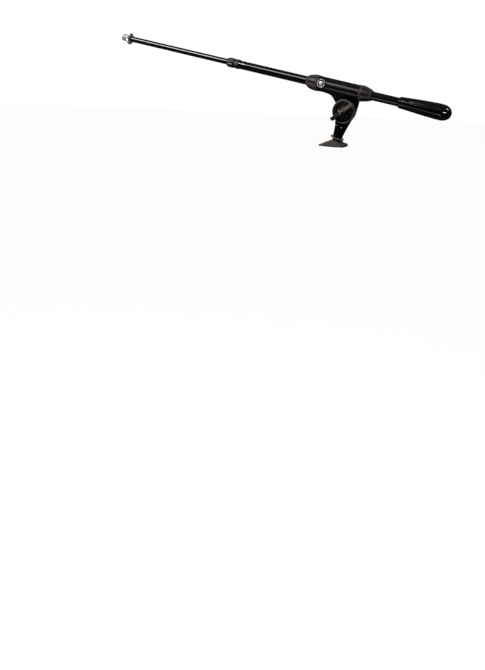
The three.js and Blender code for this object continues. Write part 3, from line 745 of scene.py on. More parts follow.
piece(
    "stud_hex_nut", "stud_nut", "foot", ZINC_STEEL, STEM,
    surface(nut_shape, (-10.4, -10.4, 3.2), (10.4, 10.4, 9.8), 0.4),
)
LOCK_DISC = fillet(
    [
        (8.25, 19.9), (15.4, 19.9), (16.4, 20.5), (16.4, 21.6), (15.6, 22.2), (12.6, 22.2),
        (12.3, 22.0), (8.25, 22.0),
    ],
    rounding=[0.2, 0.5, 0.6, 0.6, 0.5, 0.1, 0.1, 0.2],
)
piece(
    "swivel_lock_disc", "lock_disc", "lock_disc", DISC_STEEL, STEM,
    lathe(LOCK_DISC, 180, "z", serrate(count=60, depth=0.22, beyond=15.9)),
)

# ---- swivel stem: a round socket below, widening to flat cheeks at the hinge ---------------------
SECTIONS = np.array([  # height, half-width in x, half-thickness in y, superellipse exponent
    [22.6, 10.7, 10.7, 2.0],
    [23.4, 11.2, 11.2, 2.0],
    [33.0, 12.0, 11.2, 2.1],
    [45.5, 13.8, 10.4, 2.6],
    [56.0, 15.9, 9.8, 3.4],
    [67.0, 17.8, 9.2, 4.5],
    [74.0, 18.9, 9.0, 5.0],
])
SMOOTH_HEIGHTS = np.linspace(20, 78, 400)
STEM_PIN_X, STEM_PIN_Z = 5.4, PIVOT_HEIGHT - 36.4


def smooth_column(column):
    """A column of the section table as a smooth curve, so that the sides have no kinks."""
    raw = np.interp(SMOOTH_HEIGHTS, SECTIONS[:, 0], SECTIONS[:, column])
    kernel = np.exp(-0.5 * (np.arange(-40, 41) / 14.0) ** 2)
    kernel /= kernel.sum()
    return np.convolve(np.pad(raw, 40, mode="edge"), kernel, "valid")


SMOOTH_SECTIONS = [smooth_column(column) for column in (1, 2, 3)]


def stem_shape(x, y, z):
    wide, thick, power = (np.interp(z, SMOOTH_HEIGHTS, curve) for curve in SMOOTH_SECTIONS)
    radius = radial(x, y)
    scale = ((np.abs(x) / wide) ** power + (np.abs(y) / thick) ** power + 1e-9) ** (1 / power)
    solid = np.where(scale < 0.1, -8.0, radius * (1 - 1 / np.maximum(scale, 0.1)))
    solid = meet(meet(solid, 22.6 - z, 1.2), z - 74, 0.6)
    # the round hinge head
    from_hinge = radial(x, z - PIVOT_HEIGHT)
    solid = join(solid, meet(from_hinge - 20.4, np.abs(y) - 9.0, 1.6), 5.0)
    # a raised face on the knob's side
    face = meet(meet(np.abs(x) - (wide - 1.3), from_hinge - 35.8, 2.0), z - PIVOT_HEIGHT, 1.0)
    face = join(face, from_hinge - 19.2, 3.0)
    solid = join(solid, meet(face, meet(-y - 10.3, y + 6, 0.5), 1.5), 0.4)
    # a fine groove follows the lower edge of the raised face
    groove = radial(from_hinge - 36.6, y + 9.9) - 0.85
    solid = carve(solid, meet(groove, np.abs(x) - (wide + 0.5), 0.5), 0.35)
    # a groove round the socket's mouth
    solid = carve(solid, radial(radius - 11.7, z - 26.2) - 0.6, 0.4)
    # the slot for the saddle's web, the bolt hole, the socket and the pin hole
    solid = carve(solid, meet(np.abs(y) - 5.4, from_hinge - 26.5, 0.9), 0.8)
    solid = carve(solid, from_hinge - HINGE_BORE, 0.5)
    solid = carve(solid, meet(radius - 9.6, z - 43.8, 0.5), 0.5)
    pin = radial(x - STEM_PIN_X, z - STEM_PIN_Z)
    return carve(solid, meet(pin - 1.7, y + 7.4, 0.3), 0.3)


def painted_highlight_corner(centres):
    """Painted highlight: the lower corner of the raised face, on the side away from the handle, in a
    pale enamel.
    """
    x, y, z = centres.T
    from_hinge = np.hypot(x, z - PIVOT_HEIGHT)
    return (from_hinge > 34.9) & (from_hinge < 36.3) & (y < -8.9) & (x < -4.5)


# the lower corner of the raised face gets the pale enamel as a painted highlight
piece(
    "swivel_stem_casting", "swivel_stem", "stem", STEM_ENAMEL, STEM,
    surface(stem_shape, (-21.6, -11.4, 21.6), (21.6, 9.9, 104.8), 0.52),
    patch=(STEM_HIGHLIGHT_ENAMEL, painted_highlight_corner),
)
STEM_PIN = fillet(
    [
        (0, 7.6), (1.45, 7.6), (1.45, 10.5), (2.3, 10.5), (2.2, 11.2), (1.4, 11.7), (0, 11.8),
    ],
    rounding=[0, 0.1, 0, 0.15, 0.4, 0.6, 0], closed=False,
)
piece(
    "stem_rivet_pin", "stem_pin", "stem", ZINC_STEEL,
    STEM @ Matrix.Translation((STEM_PIN_X / 1000, 0, STEM_PIN_Z / 1000)),
    lathe(STEM_PIN, 32, "-y"),
)
piece(
    "stem_thread_insert", "thread_insert", "stem", BRASS, STEM,
    lathe(
        fillet([(8.15, 22.9), (9.45, 22.9), (9.45, 43.4), (8.15, 43.4)], 0.25, 3), 96, "z",
        serrate(count=24, depth=0.25, beyond=9.3),
    ),
)


# ---- hinge bolt, washers and insert --------------------------------------------------------------
def bolt_shape(x, y, z):
    radius = radial(x, z)
    head = meet(hexagon(x, z, 6.495), np.abs(y - 13.3) - 2.7, 0.35)
    head = meet(head, (radius - 7.25 + (y - 15.3)) * 0.72, 0.3)
    # a ring engraved in the head's end
    head = carve(head, meet(np.abs(radius - 4.6) - 0.35, 15.75 - y, 0.2), 0.2)
    tooth = np.abs(((y / 1.25 - np.arctan2(z, x) / (2 * math.pi)) % 1.0) * 2 - 1)
    cut = 0.32 * step01(tooth * 1.2) * step01((-12.0 - y) / 1.5)
    shank = meet(radius - (4.0 - cut), np.abs(y + 10.9) - 21.7, 0.7)
    return join(head, shank, 0.4)


piece(
    "hinge_hex_bolt", "hinge_bolt", "stem", BLACK_STEEL, HINGE,
    surface(bolt_shape, (-8, -33.4, -8), (8, 16.7, 8), 0.38),
)


def hinge_ring(
    name, node, body, finish, outer, start, end, inner=HINGE_BORE, segments=72, shift=None
):
    """A plain ring on the hinge axis; start and end are measured towards the knob."""
    corners = [(inner, start), (outer, start), (outer, end), (inner, end)]
    profile = fillet(corners, 0.28 * abs(end - start), 3)
    piece(name, node, body, finish, HINGE, lathe(profile, segments, "-y", shift))


hinge_ring(
    "hinge_bolt_washer", "bolt_washer", "stem", ZINC_STEEL,
    outer=9.2, start=-9.3, end=-10.4,
)
for side, start, end in (("knob_side", 4.4, 5.2), ("far_side", -4.4, -5.2)):
    hinge_ring(
        f"friction_pad_{side}", f"friction_disc_{side}", "stem", FIBRE,
        outer=19.0, start=start, end=end,
    )
hinge_ring(
    "knob_thrust_washer", "knob_washer", "tilt_knob", ZINC_STEEL,
    outer=9.4, start=10.5, end=11.6,
)
hinge_ring(
    "knob_thread_insert", "knob_insert", "tilt_knob", BRASS,
    outer=5.95, start=12.3, end=29.6, segments=96, shift=serrate(count=20, depth=0.2, beyond=5.8),
)

# ---- tilt knob: a dished, ridged disc with a bar across it ---------------------------------------
KNOB_PROFILE = fillet(
    [
        (-6, 40.4), (4.75, 40.4), (4.75, 43.6), (6.6, 43.4), (7.4, 39.6), (8.4, 18.2), (9.6, 16.3),
        (19.8, 16.5), (22.0, 18.6), (23.4, 23.5), (25.2, 23.5), (26, 22.3), (26, 12.8),
        (24.5, 11.4), (9.9, 11.4), (9.9, 11.9), (6.2, 11.9), (6.2, 30), (4.5, 30), (4.5, 34.5),
        (-6, 34.5),
    ],
    rounding=[
        0, 0.2, 0.6, 0.9, 2, 2.0, 1.6, 1.8, 2.2, 0.8, 0.7, 0.7, 0.9, 0.7, 0.3, 0.2, 0.3, 0.2, 0.2,
        0.2, 0,
    ],
)
BAR_TURN = math.radians(53.5)


def bar_axes(x, z):
    """Distances along and across the knob's bar."""
    return (
        x * math.cos(BAR_TURN) + z * math.sin(BAR_TURN),
        -x * math.sin(BAR_TURN) + z * math.cos(BAR_TURN),
    )


def bar_shape(along, across, depth, radius):
    top = 38.0 - 0.0016 * along * along
    wide = 3.8 - 0.016 * (depth - 16.4) + 0.0007 * along * along
    bar = meet(
        meet(np.abs(along) - 29.3, np.abs(across) - wide, 2.0),
        meet(depth - top, 16.4 - depth, 1.0),
        1.3,
    )
    # a shallow spherical hollow near each end of each side
    hollow = np.sqrt(
        (np.abs(along) - 17.5) ** 2 + ((depth - 27.5) * 0.8) ** 2 + (np.abs(across) - 20.4) ** 2
    )
    bar = carve(bar, hollow - 17.4, 1.2)
    # clearance over the rim, and round the hub's hole
    bar = carve(bar, meet(21.2 - np.abs(along), depth - 24.3, 0.6), 1.0)
    return carve(bar, radius - 6.6, 0.4)


def knob_shape(x, y, z):
    depth = -y
    radius = radial(x, z)
    solid = poly(radius, depth, KNOB_PROFILE)
    ridge = 0.28 * np.cos(56 * np.arctan2(z, x)) * step01((radius - 25.2) / 0.5)
    solid = solid + ridge * step01((depth - 12.8) / 0.8) * step01((22.2 - depth) / 0.8)
    # a fine ring groove in the dish's floor
    solid = carve(solid, radial(radius - 18.2, depth - 16.5) - 0.4, 0.4)
    return join(solid, bar_shape(*bar_axes(x, z), depth, radius), 1.8)


def painted_highlight_parts(centres):
    """Painted highlight: the rim, and the crest of the bar on one side of the hub, which get a
    lighter plastic where the light falls.
    """
    x, y, z = centres.T
    radius, depth = np.hypot(x, z), -y
    along, across = bar_axes(x, z)
    rim = (radius > 20.8) & (depth > 17.3) & ((radius < 25.6) | (depth > 21.8)) & (depth < 24.2)
    return rim | ((depth > 27) & (np.abs(across) < 6) & (along > 5.5))


# the knob's rim and one side of its bar get the painted highlight plastic
piece(
    "tilt_knob_moulding", "tilt_knob", "tilt_knob", KNOB_PLASTIC, HINGE,
    surface(knob_shape, (-31.4, -44.6, -31.4), (31.4, -10.0, 31.4), 0.56),
    patch=(KNOB_PAINTED_HIGHLIGHT, painted_highlight_parts),
)

KNOB_SCREW_TOP = 45.1
KNOB_SCREW = fillet(
    [(-6, 40.7), (4.4, 40.7), (4.4, 43.5), (3.6, 44.6), (2, 45.0), (-6, KNOB_SCREW_TOP)],
    rounding=[0, 0.3, 0.8, 1.0, 2, 0],
)


def knob_screw_shape(x, y, z):
    # the cross is turned by 45 degrees
    cross = cross_recess((x + z) * 0.70711, (z - x) * 0.70711, -y, KNOB_SCREW_TOP, 2.4)
    return carve(poly(radial(x, z), -y, KNOB_SCREW), cross, 0.25)


piece(
    "knob_retaining_screw", "knob_screw", "tilt_knob", ZINC_STEEL, HINGE,
    surface(knob_screw_shape, (-4.9, -45.6, -4.9), (4.9, -40.2, 4.9), 0.24),
)

# ---- saddle: a barrel round the boom, with a web down to the hinge -------------------------------
BARREL_MIDDLE, BARREL_HALF = 27.7, 49.7
NOSE_MIDDLE, NOSE_HALF = 30.0, 62.5
WEB_RADIUS = 22.6
WEB = fillet(  # x, z
    [
        (WEB_RADIUS * math.cos(math.radians(angle)), WEB_RADIUS * math.sin(math.radians(angle)))
        for angle in np.linspace(180, 360, 25)
    ]
    + [
        (23.2, 4.2), (26.2, 9.2), (31.0, 14.6), (37.6, 21.4), (45.5, 26.6), (54.5, 29.0),
        (60, 29.4), (60, 36), (-21.8, 36), (-21.8, 26.4), (-24.6, 26.2), (-24.6, 21), (-23.2, 5),
    ],
    rounding=[0] * 24 + [6] + [3, 14, 16, 14, 14, 14, 4, 0, 0, 0, 1.5, 3, 8],
)


def saddle_shape(x, y, z):
    boom_z = z - BOOM_RISE
    radius = radial(y, boom_z)
    from_middle = np.abs(x - BARREL_MIDDLE)
    solid = meet(radius - 16.5, from_middle - BARREL_HALF, 1.6)
    # a raised band round each end of the barrel
    solid = join(solid, meet(radius - 16.9, np.abs(from_middle - 47.4) - 2.3, 0.9), 0.5)
    # the web thickens upwards
    half = 4.25 + 3.75 * step01((z - 24.6) / 5.0)
    solid = join(solid, meet(poly(x, z, WEB), np.abs(y) - half, 2.2), 3.2)
    # the badge's boss and its pocket
    outward = y * math.cos(BADGE_TILT) + boom_z * math.sin(BADGE_TILT)
    across = -y * math.sin(BADGE_TILT) + boom_z * math.cos(BADGE_TILT)
    from_badge = radial(x - BADGE_AT, across)
    boss = meet(meet(from_badge - 10.6, outward - 17.3, 1.2), 5 - outward, 0.5)
    solid = join(solid, boss, 2.2)
    solid = carve(solid, meet(from_badge - 9.5, 15.4 - outward, 0.4), 0.5)
    # a narrow nose at each end, the bore widening inside it, and the bolt hole
    from_middle = np.abs(x - NOSE_MIDDLE)
    solid = join(solid, meet(radius - 12.9, from_middle - NOSE_HALF, 0.8), 0.4)
    bore = 10.4 + 1.0 * step01((from_middle - 49.2) / 1.0)
    solid = carve(solid, radius - bore, 0.6)
    return carve(solid, radial(x, z) - HINGE_BORE, 0.5)


piece(
    "saddle_casting", "saddle_body", "saddle", CAST_ENAMEL, SADDLE,
    surface(saddle_shape, (-33.6, -19.4, -23.8), (93.6, 19.4, BOOM_RISE + 18.4), 0.68),
)
BADGE_RING = fillet(
    [(7.35, 15.7), (9.2, 15.7), (9.2, 17.5), (8.5, 17.95), (7.9, 17.9), (7.35, 17.4)],
    rounding=[0.1, 0.1, 0.4, 0.4, 0.3, 0.2],
)
piece(
    "badge_ring", "badge_bezel", "saddle", CHROME, BADGE, lathe(BADGE_RING, 96, "z")
)
BADGE_DISC = fillet(
    [
        (0, 15.7), (7.0, 15.7), (7.0, 17.0), (6.4, 17.3), (5.4, 17.3), (5.2, 17.05), (5.0, 17.05),
        (4.7, 17.35), (3.4, 17.85), (1.8, 18.1), (0, 18.18),
    ],
    rounding=[0, 0.1, 0.2, 0.2, 0.1, 0.1, 0.1, 0.4, 2, 3, 0], closed=False,
)


def badge_dome(centres):
    return (centres[:, 2] > 17.08) & (np.hypot(centres[:, 0], centres[:, 1]) < 4.95)


piece(
    "badge_plain_disc", "badge_disc", "saddle", BADGE_LACQUER, BADGE,
    lathe(resample(BADGE_DISC, 0.6, closed=False), 80, "z"), patch=(CHROME, badge_dome),
)


# ---- clutch grips and collets at the two ends of the saddle --------------------------------------
GRIP_BORE, GRIP_CAVITY, GRIP_RIM = 9.95, 13.2, 16.9
FRONT_OUT = [
    (17.3, 78.3), (17.3, 84.0), (16.9, 89), (15.9, 94.5), (14.2, 99.8), (12.0, 104.2),
    (10.9, 105.9), (10.4, 106.2),
]
REAR_OUT = [
    (17.3, -22.9), (17.3, -27.5), (16.8, -31), (15.7, -36), (13.9, -42.4), (12.2, -47.4),
    (11.4, -50.2), (10.7, -50.8),
]


def oval_recesses(outside, at, half_long, half_wide, depth):
    """Eight oval recesses along the axis, each with a raised border: the shift that makes them,
    and a function that tells which face centres lie inside one, which get painted shade."""
    by_height = sorted(outside, key=lambda point: point[1])
    pitch = 2 * math.pi / 8

    def radius_at(height):
        return np.interp(height, [p[1] for p in by_height], [float(p[0]) for p in by_height])

    def oval(angle, height):
        turn = (angle + pitch / 2) % pitch - pitch / 2
        across = turn * radius_at(height)
        taper = half_wide * (radius_at(height) / radius_at(np.array(at)))
        along = np.maximum(np.abs(height - at) - (half_long - half_wide), 0)
        return radial(along, across) - taper

    def shift(angle, height, radius):
        edge = oval(angle, height)
        dip = -depth * step01(-edge / 0.8 + 0.15)
        border = 0.5 * bell(edge, 0.95, 0.75)
        return np.where(radius > radius_at(height) - 0.9, dip + border, 0.0)

    def inside(centres):
        x, y, z = centres.T
        edge = oval(np.arctan2(z, y) % (2 * math.pi), x)
        return (edge < -0.15) & (np.hypot(y, z) > radius_at(x) - 0.9 - depth)

    return shift, inside


def clutch_grip(end, outside, mouth, bore, rounding, recesses, rim_groove=None):
    """mouth: height of the wide end. bore: heights of the small end, of the bore's inner end and
    of the cavity's end. rim_groove: height of a shallow groove round the wide rim."""
    ovals, inside = oval_recesses(outside, **recesses)

    def shift(angle, height, radius):
        moved = ovals(angle, height, radius)
        if rim_groove is not None:
            moved = moved + -0.35 * bell(height, rim_groove, 0.5) * (radius > 16.4)
        return moved

    points = [(GRIP_CAVITY, mouth), (GRIP_RIM, mouth), *outside]
    points += zip((GRIP_BORE, GRIP_BORE, GRIP_CAVITY), bore)
    # the insides of the recesses get the darker rubber as painted shade
    piece(
        f"{end}_clutch_grip_moulding", f"{end}_clutch_grip", f"{end}_clutch",
        GRIP_RUBBER, BOOM, lathe(resample(fillet(points, rounding), 0.42), 232, "x", shift),
        patch=(GRIP_RECESS_SHADE, inside), sharp=60,
    )


clutch_grip(
    "front", FRONT_OUT, mouth=77.8, bore=(106.2, 103, 93.6),
    rounding=[0.3, 0.5, 0.5, 6, 14, 14, 12, 2.0, 0.5, 0.2, 0.1, 0.3, 0.5],
    recesses={"at": 91.6, "half_long": 10.2, "half_wide": 3.1, "depth": 1.2},
)
clutch_grip(
    "rear", REAR_OUT, mouth=-22.4, bore=(-50.8, -46, -34),
    rounding=[0.3, 0.5, 0.5, 4.0, 8, 14, 14, 6, 0.7, 0.4, 0.2, 0.3, 0.5],
    recesses={"at": -37.4, "half_long": 9.8, "half_wide": 3.4, "depth": 1.4},
    rim_groove=-26.0,
)
for end, base, shoulder, tip_end in (("front", 81, 92.4, 100.6), ("rear", -21, -32.8, -44)):
    collet = [(9.75, base), (11.2, base), (11.2, shoulder), (10.2, tip_end), (9.75, tip_end)]
    piece(
        f"{end}_split_collet", f"{end}_collet", "collets", NYLON, BOOM,
        lathe(fillet(collet, 0.15, 2), 64, "x", gap=0.16),
    )

# ---- outer boom ----------------------------------------------------------------------------------
CRIMP_AT = 262.0
HALF_CRIMP = [(TUBE_RADIUS, 4.0), (9.62, 3.0), (9.62, 2.3), (9.05, 1.1)]  # radius, from the middle
TUBE = fillet(
    [(TUBE_BORE, -150.5), (TUBE_RADIUS, -150.5)]
    + [(radius, CRIMP_AT - reach) for radius, reach in HALF_CRIMP]
    + [(radius, CRIMP_AT + reach) for radius, reach in reversed(HALF_CRIMP)]
    + [(TUBE_RADIUS, 288.2), (TUBE_BORE, 288.2)],
    rounding=[0.2, 0.3] + [0.8] * 8 + [0.35, 0.2],
)
piece(
    "outer_tube_enamelled", "outer_tube", "outer_boom", TUBE_ENAMEL, BOOM,
    lathe(resample(TUBE, 12), 96, "x"),
)
HANDLE = fillet(
    [
        (9.8, -113.6), (10.9, -113.6), (12.3, -115.2), (12.6, -119.8), (14.5, -147), (16.2, -174),
        (17.3, -199), (17.2, -206.5), (11.6, -206.5), (11.6, -122), (9.8, -122),
    ],
    rounding=[0.2, 0.6, 0.9, 8, 60, 60, 30, 0.6, 0.2, 0.4, 0.2], steps=5,
)


def handle_flutes(angle, height, radius):
    """Fourteen flutes, and a ring groove round the neck."""
    flutes = -0.35 * waves(angle, 14, 1.1) * between(height, -205.2, -126.0, 4.0, 16.0)
    return np.where(radius > 11.9, flutes - 0.30 * bell(height, -120.6, 0.6), 0.0)


piece(
    "handle_grip_fluted", "handle_grip", "outer_boom", HANDLE_RUBBER, BOOM,
    lathe(resample(HANDLE, 1.1), 216, "x", handle_flutes), sharp=60,
)
CAP_BASE, CAP_RADIUS, CAP_LENGTH, CAP_POWER = -206.9, 17.2, 23.6, 2.2
cap_dome = [
    (CAP_RADIUS * max(0.0, 1 - part**CAP_POWER) ** (1 / CAP_POWER), CAP_BASE - CAP_LENGTH * part)
    for part in np.sin(np.linspace(0, math.pi / 2, 40))
]
cap_dome[-1] = (0.0, CAP_BASE - CAP_LENGTH)
cap_back = fillet(
    [(0, -209.6), (11.6, -209.6), (11.6, CAP_BASE), (16.7, CAP_BASE)], 0.2, 3, closed=False
)
end_cap = piece(
    "handle_end_cap_gloss", "handle_end_cap", "outer_boom", CAP_PLASTIC, BOOM,
    lathe(cap_back + [(17.1, -207.2)] + cap_dome[2:], 96, "x"),
)
SLUG = fillet(
    [
        (0, -151), (9.75, -151), (9.75, -122.4), (11.3, -122.4), (11.3, -209.2), (0, -209.2),
    ],
    rounding=[0, 0.3, 0, 0.6, 0.8, 0], closed=False,
)
piece(
    "counterweight_slug", "counterweight", "outer_boom", BARE_STEEL, BOOM,
    lathe(SLUG, 64, "x"),
)

# ---- telescope clutch ----------------------------------------------------------------------------
SLEEVE = fillet(
    [
        (6.85, 270), (8.15, 270), (8.15, 288.5), (9.75, 288.5), (9.75, 281), (10.3, 281),
        (10.75, 281.7), (10.75, 290.4), (10.2, 291.4), (8.9, 291.4), (8.9, 305.5), (6.85, 305.5),
    ],
    rounding=[0.1, 0.2, 0.1, 0.1, 0.1, 0.3, 0.5, 0.6, 0.4, 0.2, 0.3, 0.2], steps=3,
)


def sleeve_grooves(angle, height, radius):
    inside = between(height, 283.2, 289.4, 0.6, 0.6) * (radius > 10.4)
    return -0.4 * inside * waves(angle, 24)


piece(
    "telescope_sleeve_moulding", "telescope_sleeve", "outer_boom",
    SLEEVE_PLASTIC, BOOM, lathe(resample(SLEEVE, 0.7), 192, "x", sleeve_grooves), sharp=50,
)
COLLAR = fillet(
    [
        (9.15, 294.8), (9.9, 294.8), (10.7, 296), (11.1, 298.4), (11.1, 305), (10.5, 309.4),
        (9.1, 312.6), (7.9, 313.6), (6.95, 313.6), (6.95, 311.4), (9.15, 307.4),
    ],
    rounding=[0.2, 0.4, 1, 2, 4, 4, 1.4, 0.5, 0.2, 0.2, 0.2],
)


def collar_scallops(angle, height, radius):
    """Ten scallops, and a low raised ring beyond them."""
    outside = radius > 9.4
    inside = between(height, 296.6, 309.6, 1.6, 3.0) * outside
    ring = 0.22 * bell(height, 310.2, 0.5) * outside
    return -1.35 * inside * waves(angle, 10, 1.4, phase=0.5) + ring


piece(
    "telescope_collar_moulding", "telescope_collar", "telescope_clutch",
    COLLAR_PLASTIC, BOOM, lathe(resample(COLLAR, 0.42), 180, "x", collar_scallops), sharp=50,
)
BUSH = fillet([(6.75, 305.9), (8.6, 305.9), (7.8, 308.8), (6.75, 308.8)], 0.15, 2)
piece(
    "telescope_split_bush", "telescope_bush", "telescope_bush", NYLON, BOOM,
    lathe(BUSH, 56, "x", gap=0.2),
)

# ---- inner boom and the microphone thread --------------------------------------------------------
PIN_AT = 575.8


def dimpled(shape):
    """Presses a small dimple round the tip pin into the tube's wall."""
    verts, faces, _ = shape
    verts = verts.copy()
    x, y, z = verts.T
    dimple = 0.55 * bell(radial(x - PIN_AT, z), 0, 1.9)
    verts[:, 1] -= dimple * (y > 3) * (np.hypot(y, z) > 6.0)
    return verts, faces, None


# the outline has close points only along the part round the pin
inner_start = [(INNER_BORE, 232), (INNER_RADIUS, 232), (INNER_RADIUS, 570.5)]
inner_end = [(INNER_RADIUS, 581.0), (INNER_RADIUS, 587.5), (INNER_BORE, 587.5)]
inner_tube = resample(fillet(inner_start, [0, 0.3, 0], 3, closed=False), 12, closed=False)[:-1]
inner_tube += resample([inner_start[-1], inner_end[0]], 0.4, closed=False)[:-1]
inner_tube += fillet(inner_end, [0, 0.35, 0], 3, closed=False)
inner_tube += [(INNER_BORE, 560.0), (INNER_BORE, 400.0)]
piece(
    "inner_tube_enamelled", "inner_tube", "inner_boom", TUBE_ENAMEL, BOOM,
    dimpled(lathe(inner_tube, 112, "x")),
)
piece(
    "inner_stop_ring", "inner_stop_bush", "inner_boom", NYLON, BOOM,
    lathe(fillet([(6.7, 232.4), (8.1, 232.4), (8.1, 244), (6.7, 244)], 0.25, 3), 64, "x"),
)
TIP = fillet(
    [
        (3.4, 558), (5.4, 558), (5.4, 587.8), (THREAD_RADIUS, 587.8), (THREAD_RADIUS, 609.9),
        (6.84, 611), (3.4, 611),
    ],
    rounding=[0.2, 0.2, 0.1, 0.4, 0.3, 0.3, 0.5],
)
piece(
    "microphone_thread_chrome", "microphone_thread", "inner_boom", CHROME, BOOM,
    lathe(
        resample(TIP, 0.16), 72, "x", thread(depth=0.52, start=588.6, end=610.4, beyond=7.0)
    ),
    sharp=75,
)
TIP_PIN = fillet(
    [(0, -4.2), (1.35, -4.2), (1.35, -6.25), (0.8, -6.5), (0, -6.55)],
    rounding=[0, 0.1, 0.25, 0.3, 0], closed=False,
)
piece(
    "tip_retaining_pin", "tip_pin", "inner_boom", ZINC_STEEL,
    BOOM @ Matrix.Translation((PIN_AT / 1000, 0, 0)), lathe(TIP_PIN, 28, "-y"),
)
LOCK_RING = fillet(
    [(8.25, 588.3), (12.6, 588.3), (13.5, 589.1), (13.5, 592.5), (12.6, 593.3), (8.25, 593.3)],
    rounding=[0.3, 0.5, 0.4, 0.4, 0.5, 0.3],
)


def knurl(angle, height, radius):
    tooth = np.abs(((angle * 48 / (2 * math.pi)) % 1.0) * 2 - 1)
    return -0.55 * (radius > 12.7) * tooth * between(height, 588.5, 593.1, 0.7, 0.7)


piece(
    "tip_lock_ring_knurled", "tip_lock_ring", "tip_lock_ring", CHROME, BOOM,
    lathe(resample(LOCK_RING, 0.4), 288, "x", knurl), sharp=30,
)

# ---- floor, in metres ----------------------------------------------------------------------------
FLOOR_Z, FLOOR_HALF, FLOOR_CELLS = -1.15, 14.0, 10
WHITE_STRENGTH = 1.04  # of the backdrop that the camera sees


def floor_material():
    """Mostly glowing white to the camera, and almost black in reflections."""
    mat = bpy.data.materials.new("floor_paper")
    mat.use_nodes = True
    tree = mat.node_tree
    tree.nodes.clear()
    path = add_node(tree, "ShaderNodeLightPath").outputs
    paper, reflected = (0.8, 0.8, 0.8, 1), (0.05, 0.047, 0.045, 1)
    colour = mix_colour(tree, path["Is Glossy Ray"], paper, reflected)
    diffuse = add_node(tree, "ShaderNodeBsdfDiffuse", {"Color": colour})
    inputs = {"Color": (1, 1, 1, 1), "Strength": WHITE_STRENGTH}
    glow = add_node(tree, "ShaderNodeEmission", inputs)
    inputs = {0: path["Is Camera Ray"], 1: 0.93}
    share = add_node(tree, "ShaderNodeMath", inputs, operation="MULTIPLY")
    inputs = {0: share.outputs[0], 1: diffuse.outputs[0], 2: glow.outputs[0]}
    mixed = add_node(tree, "ShaderNodeMixShader", inputs)
    add_node(tree, "ShaderNodeOutputMaterial", {"Surface": mixed.outputs[0]})
    return mat


def make_floor():
    ticks = [-FLOOR_HALF + 2 * FLOOR_HALF * i / FLOOR_CELLS for i in range(FLOOR_CELLS + 1)]
    verts = [(x, y, FLOOR_Z) for y in ticks for x in ticks]
    row = FLOOR_CELLS + 1
    corners = [i * row + j for i in range(FLOOR_CELLS) for j in range(FLOOR_CELLS)]
    mesh = bpy.data.meshes.new("floor")
    mesh.from_pydata(verts, [], [(a, a + 1, a + row + 1, a + row) for a in corners])
    floor = bpy.data.objects.new("floor", mesh)
    scene.collection.objects.link(floor)
    mesh.materials.append(floor_material())


make_floor()


# ---- world ---------------------------------------------------------------------------------------
def make_world():
    """White to the camera; to the object a dark room, with a grey wall beyond the microphone."""
    world = bpy.data.worlds.new("studio")
    scene.world = world
    world.use_nodes = True
    tree = world.node_tree
    tree.nodes.clear()
    direction = add_node(tree, "ShaderNodeTexCoord").outputs["Generated"]
    parts = add_node(tree, "ShaderNodeSeparateXYZ", {0: direction})
    inputs = {"From Min": -1, "From Max": 1, "Value": parts.outputs["Z"]}
    height = add_node(tree, "ShaderNodeMapRange", inputs)
    ramp = add_node(tree, "ShaderNodeValToRGB", {0: height.outputs["Result"]})
    stops = ramp.color_ramp.elements
    stops[0].position = 0.0
    stops[0].color = (0.02, 0.019, 0.018, 1)
    stops[1].position = 1.0
    stops[1].color = (0.10, 0.095, 0.09, 1)
    for position, colour in (
        (0.50, (0.015, 0.015, 0.015, 1)),
        (0.62, (0.02, 0.019, 0.018, 1)),
        (0.80, (0.06, 0.056, 0.053, 1)),
    ):
        stops.new(position).color = colour
    inputs = {0: direction, 1: [float(value) for value in BOOM_AXIS]}
    towards = add_node(tree, "ShaderNodeVectorMath", inputs, operation="DOT_PRODUCT")
    inputs = {"From Min": 0.74, "From Max": 0.90, "Value": towards.outputs["Value"]}
    wall = add_node(tree, "ShaderNodeMapRange", inputs).outputs["Result"]
    colour = mix_colour(tree, wall, ramp.outputs[0], (0.11, 0.11, 0.11, 1))
    room = add_node(tree, "ShaderNodeBackground", {"Color": colour})
    inputs = {"Color": (1, 1, 1, 1), "Strength": WHITE_STRENGTH}
    white = add_node(tree, "ShaderNodeBackground", inputs)
    seen = add_node(tree, "ShaderNodeLightPath").outputs["Is Camera Ray"]
    inputs = {0: seen, 1: room.outputs[0], 2: white.outputs[0]}
    mixed = add_node(tree, "ShaderNodeMixShader", inputs)
    add_node(tree, "ShaderNodeOutputWorld", {"Surface": mixed.outputs[0]})


make_world()


# ---- lights, in metres and watts -----------------------------------------------------------------
def area(name, at, look, across, size, power, colour=(1, 1, 1), glossy=True, diffuse=True):
    """A rectangular lamp at a point, facing look, with its first side along across."""
    data = bpy.data.lights.new(name, "AREA")
    data.shape = "RECTANGLE"
    data.size, data.size_y = size
    data.energy = power
    data.color = colour
    lamp = bpy.data.objects.new(name, data)
    scene.collection.objects.link(lamp)
    z_axis = unit(np.array(at, float) - np.array(look, float))
    across = np.array(across, float)
    x_axis = unit(across - (across @ z_axis) * z_axis)
    lamp.matrix_world = frame_of(at, x_axis, np.cross(z_axis, x_axis), z_axis)
    lamp.visible_camera = False
    lamp.visible_glossy = glossy
    lamp.visible_diffuse = diffuse
    return lamp


def off_axis(along, away, elevation):
    """A point beside the boom: along it, away from it on the camera's side, at an elevation."""
    angle = math.radians(elevation)
    side = math.cos(angle) * -WORLD_Y + math.sin(angle) * BOOM_UP
    return BOOM_AT + BOOM_AXIS * along + away * side


def strip(name, along, length, wide, radiance, elevation=38, away=2.2, **options):
    """A lamp parallel to the boom that shows in its gloss; radiance is the lamp's own brightness."""
    area(
        name, off_axis(along, away, elevation), off_axis(along, 0, 0), BOOM_AXIS,
        size=(length, wide), power=radiance * length * wide * math.pi, **options,
    )


def light_only(lamps, collection_name, receivers):
    """Links the lamps so that they light only the receivers."""
    collection = bpy.data.collections.new(collection_name)
    for receiver in receivers:
        collection.objects.link(receiver)
    for lamp in lamps:
        lamp.light_linking.receiver_collection = collection


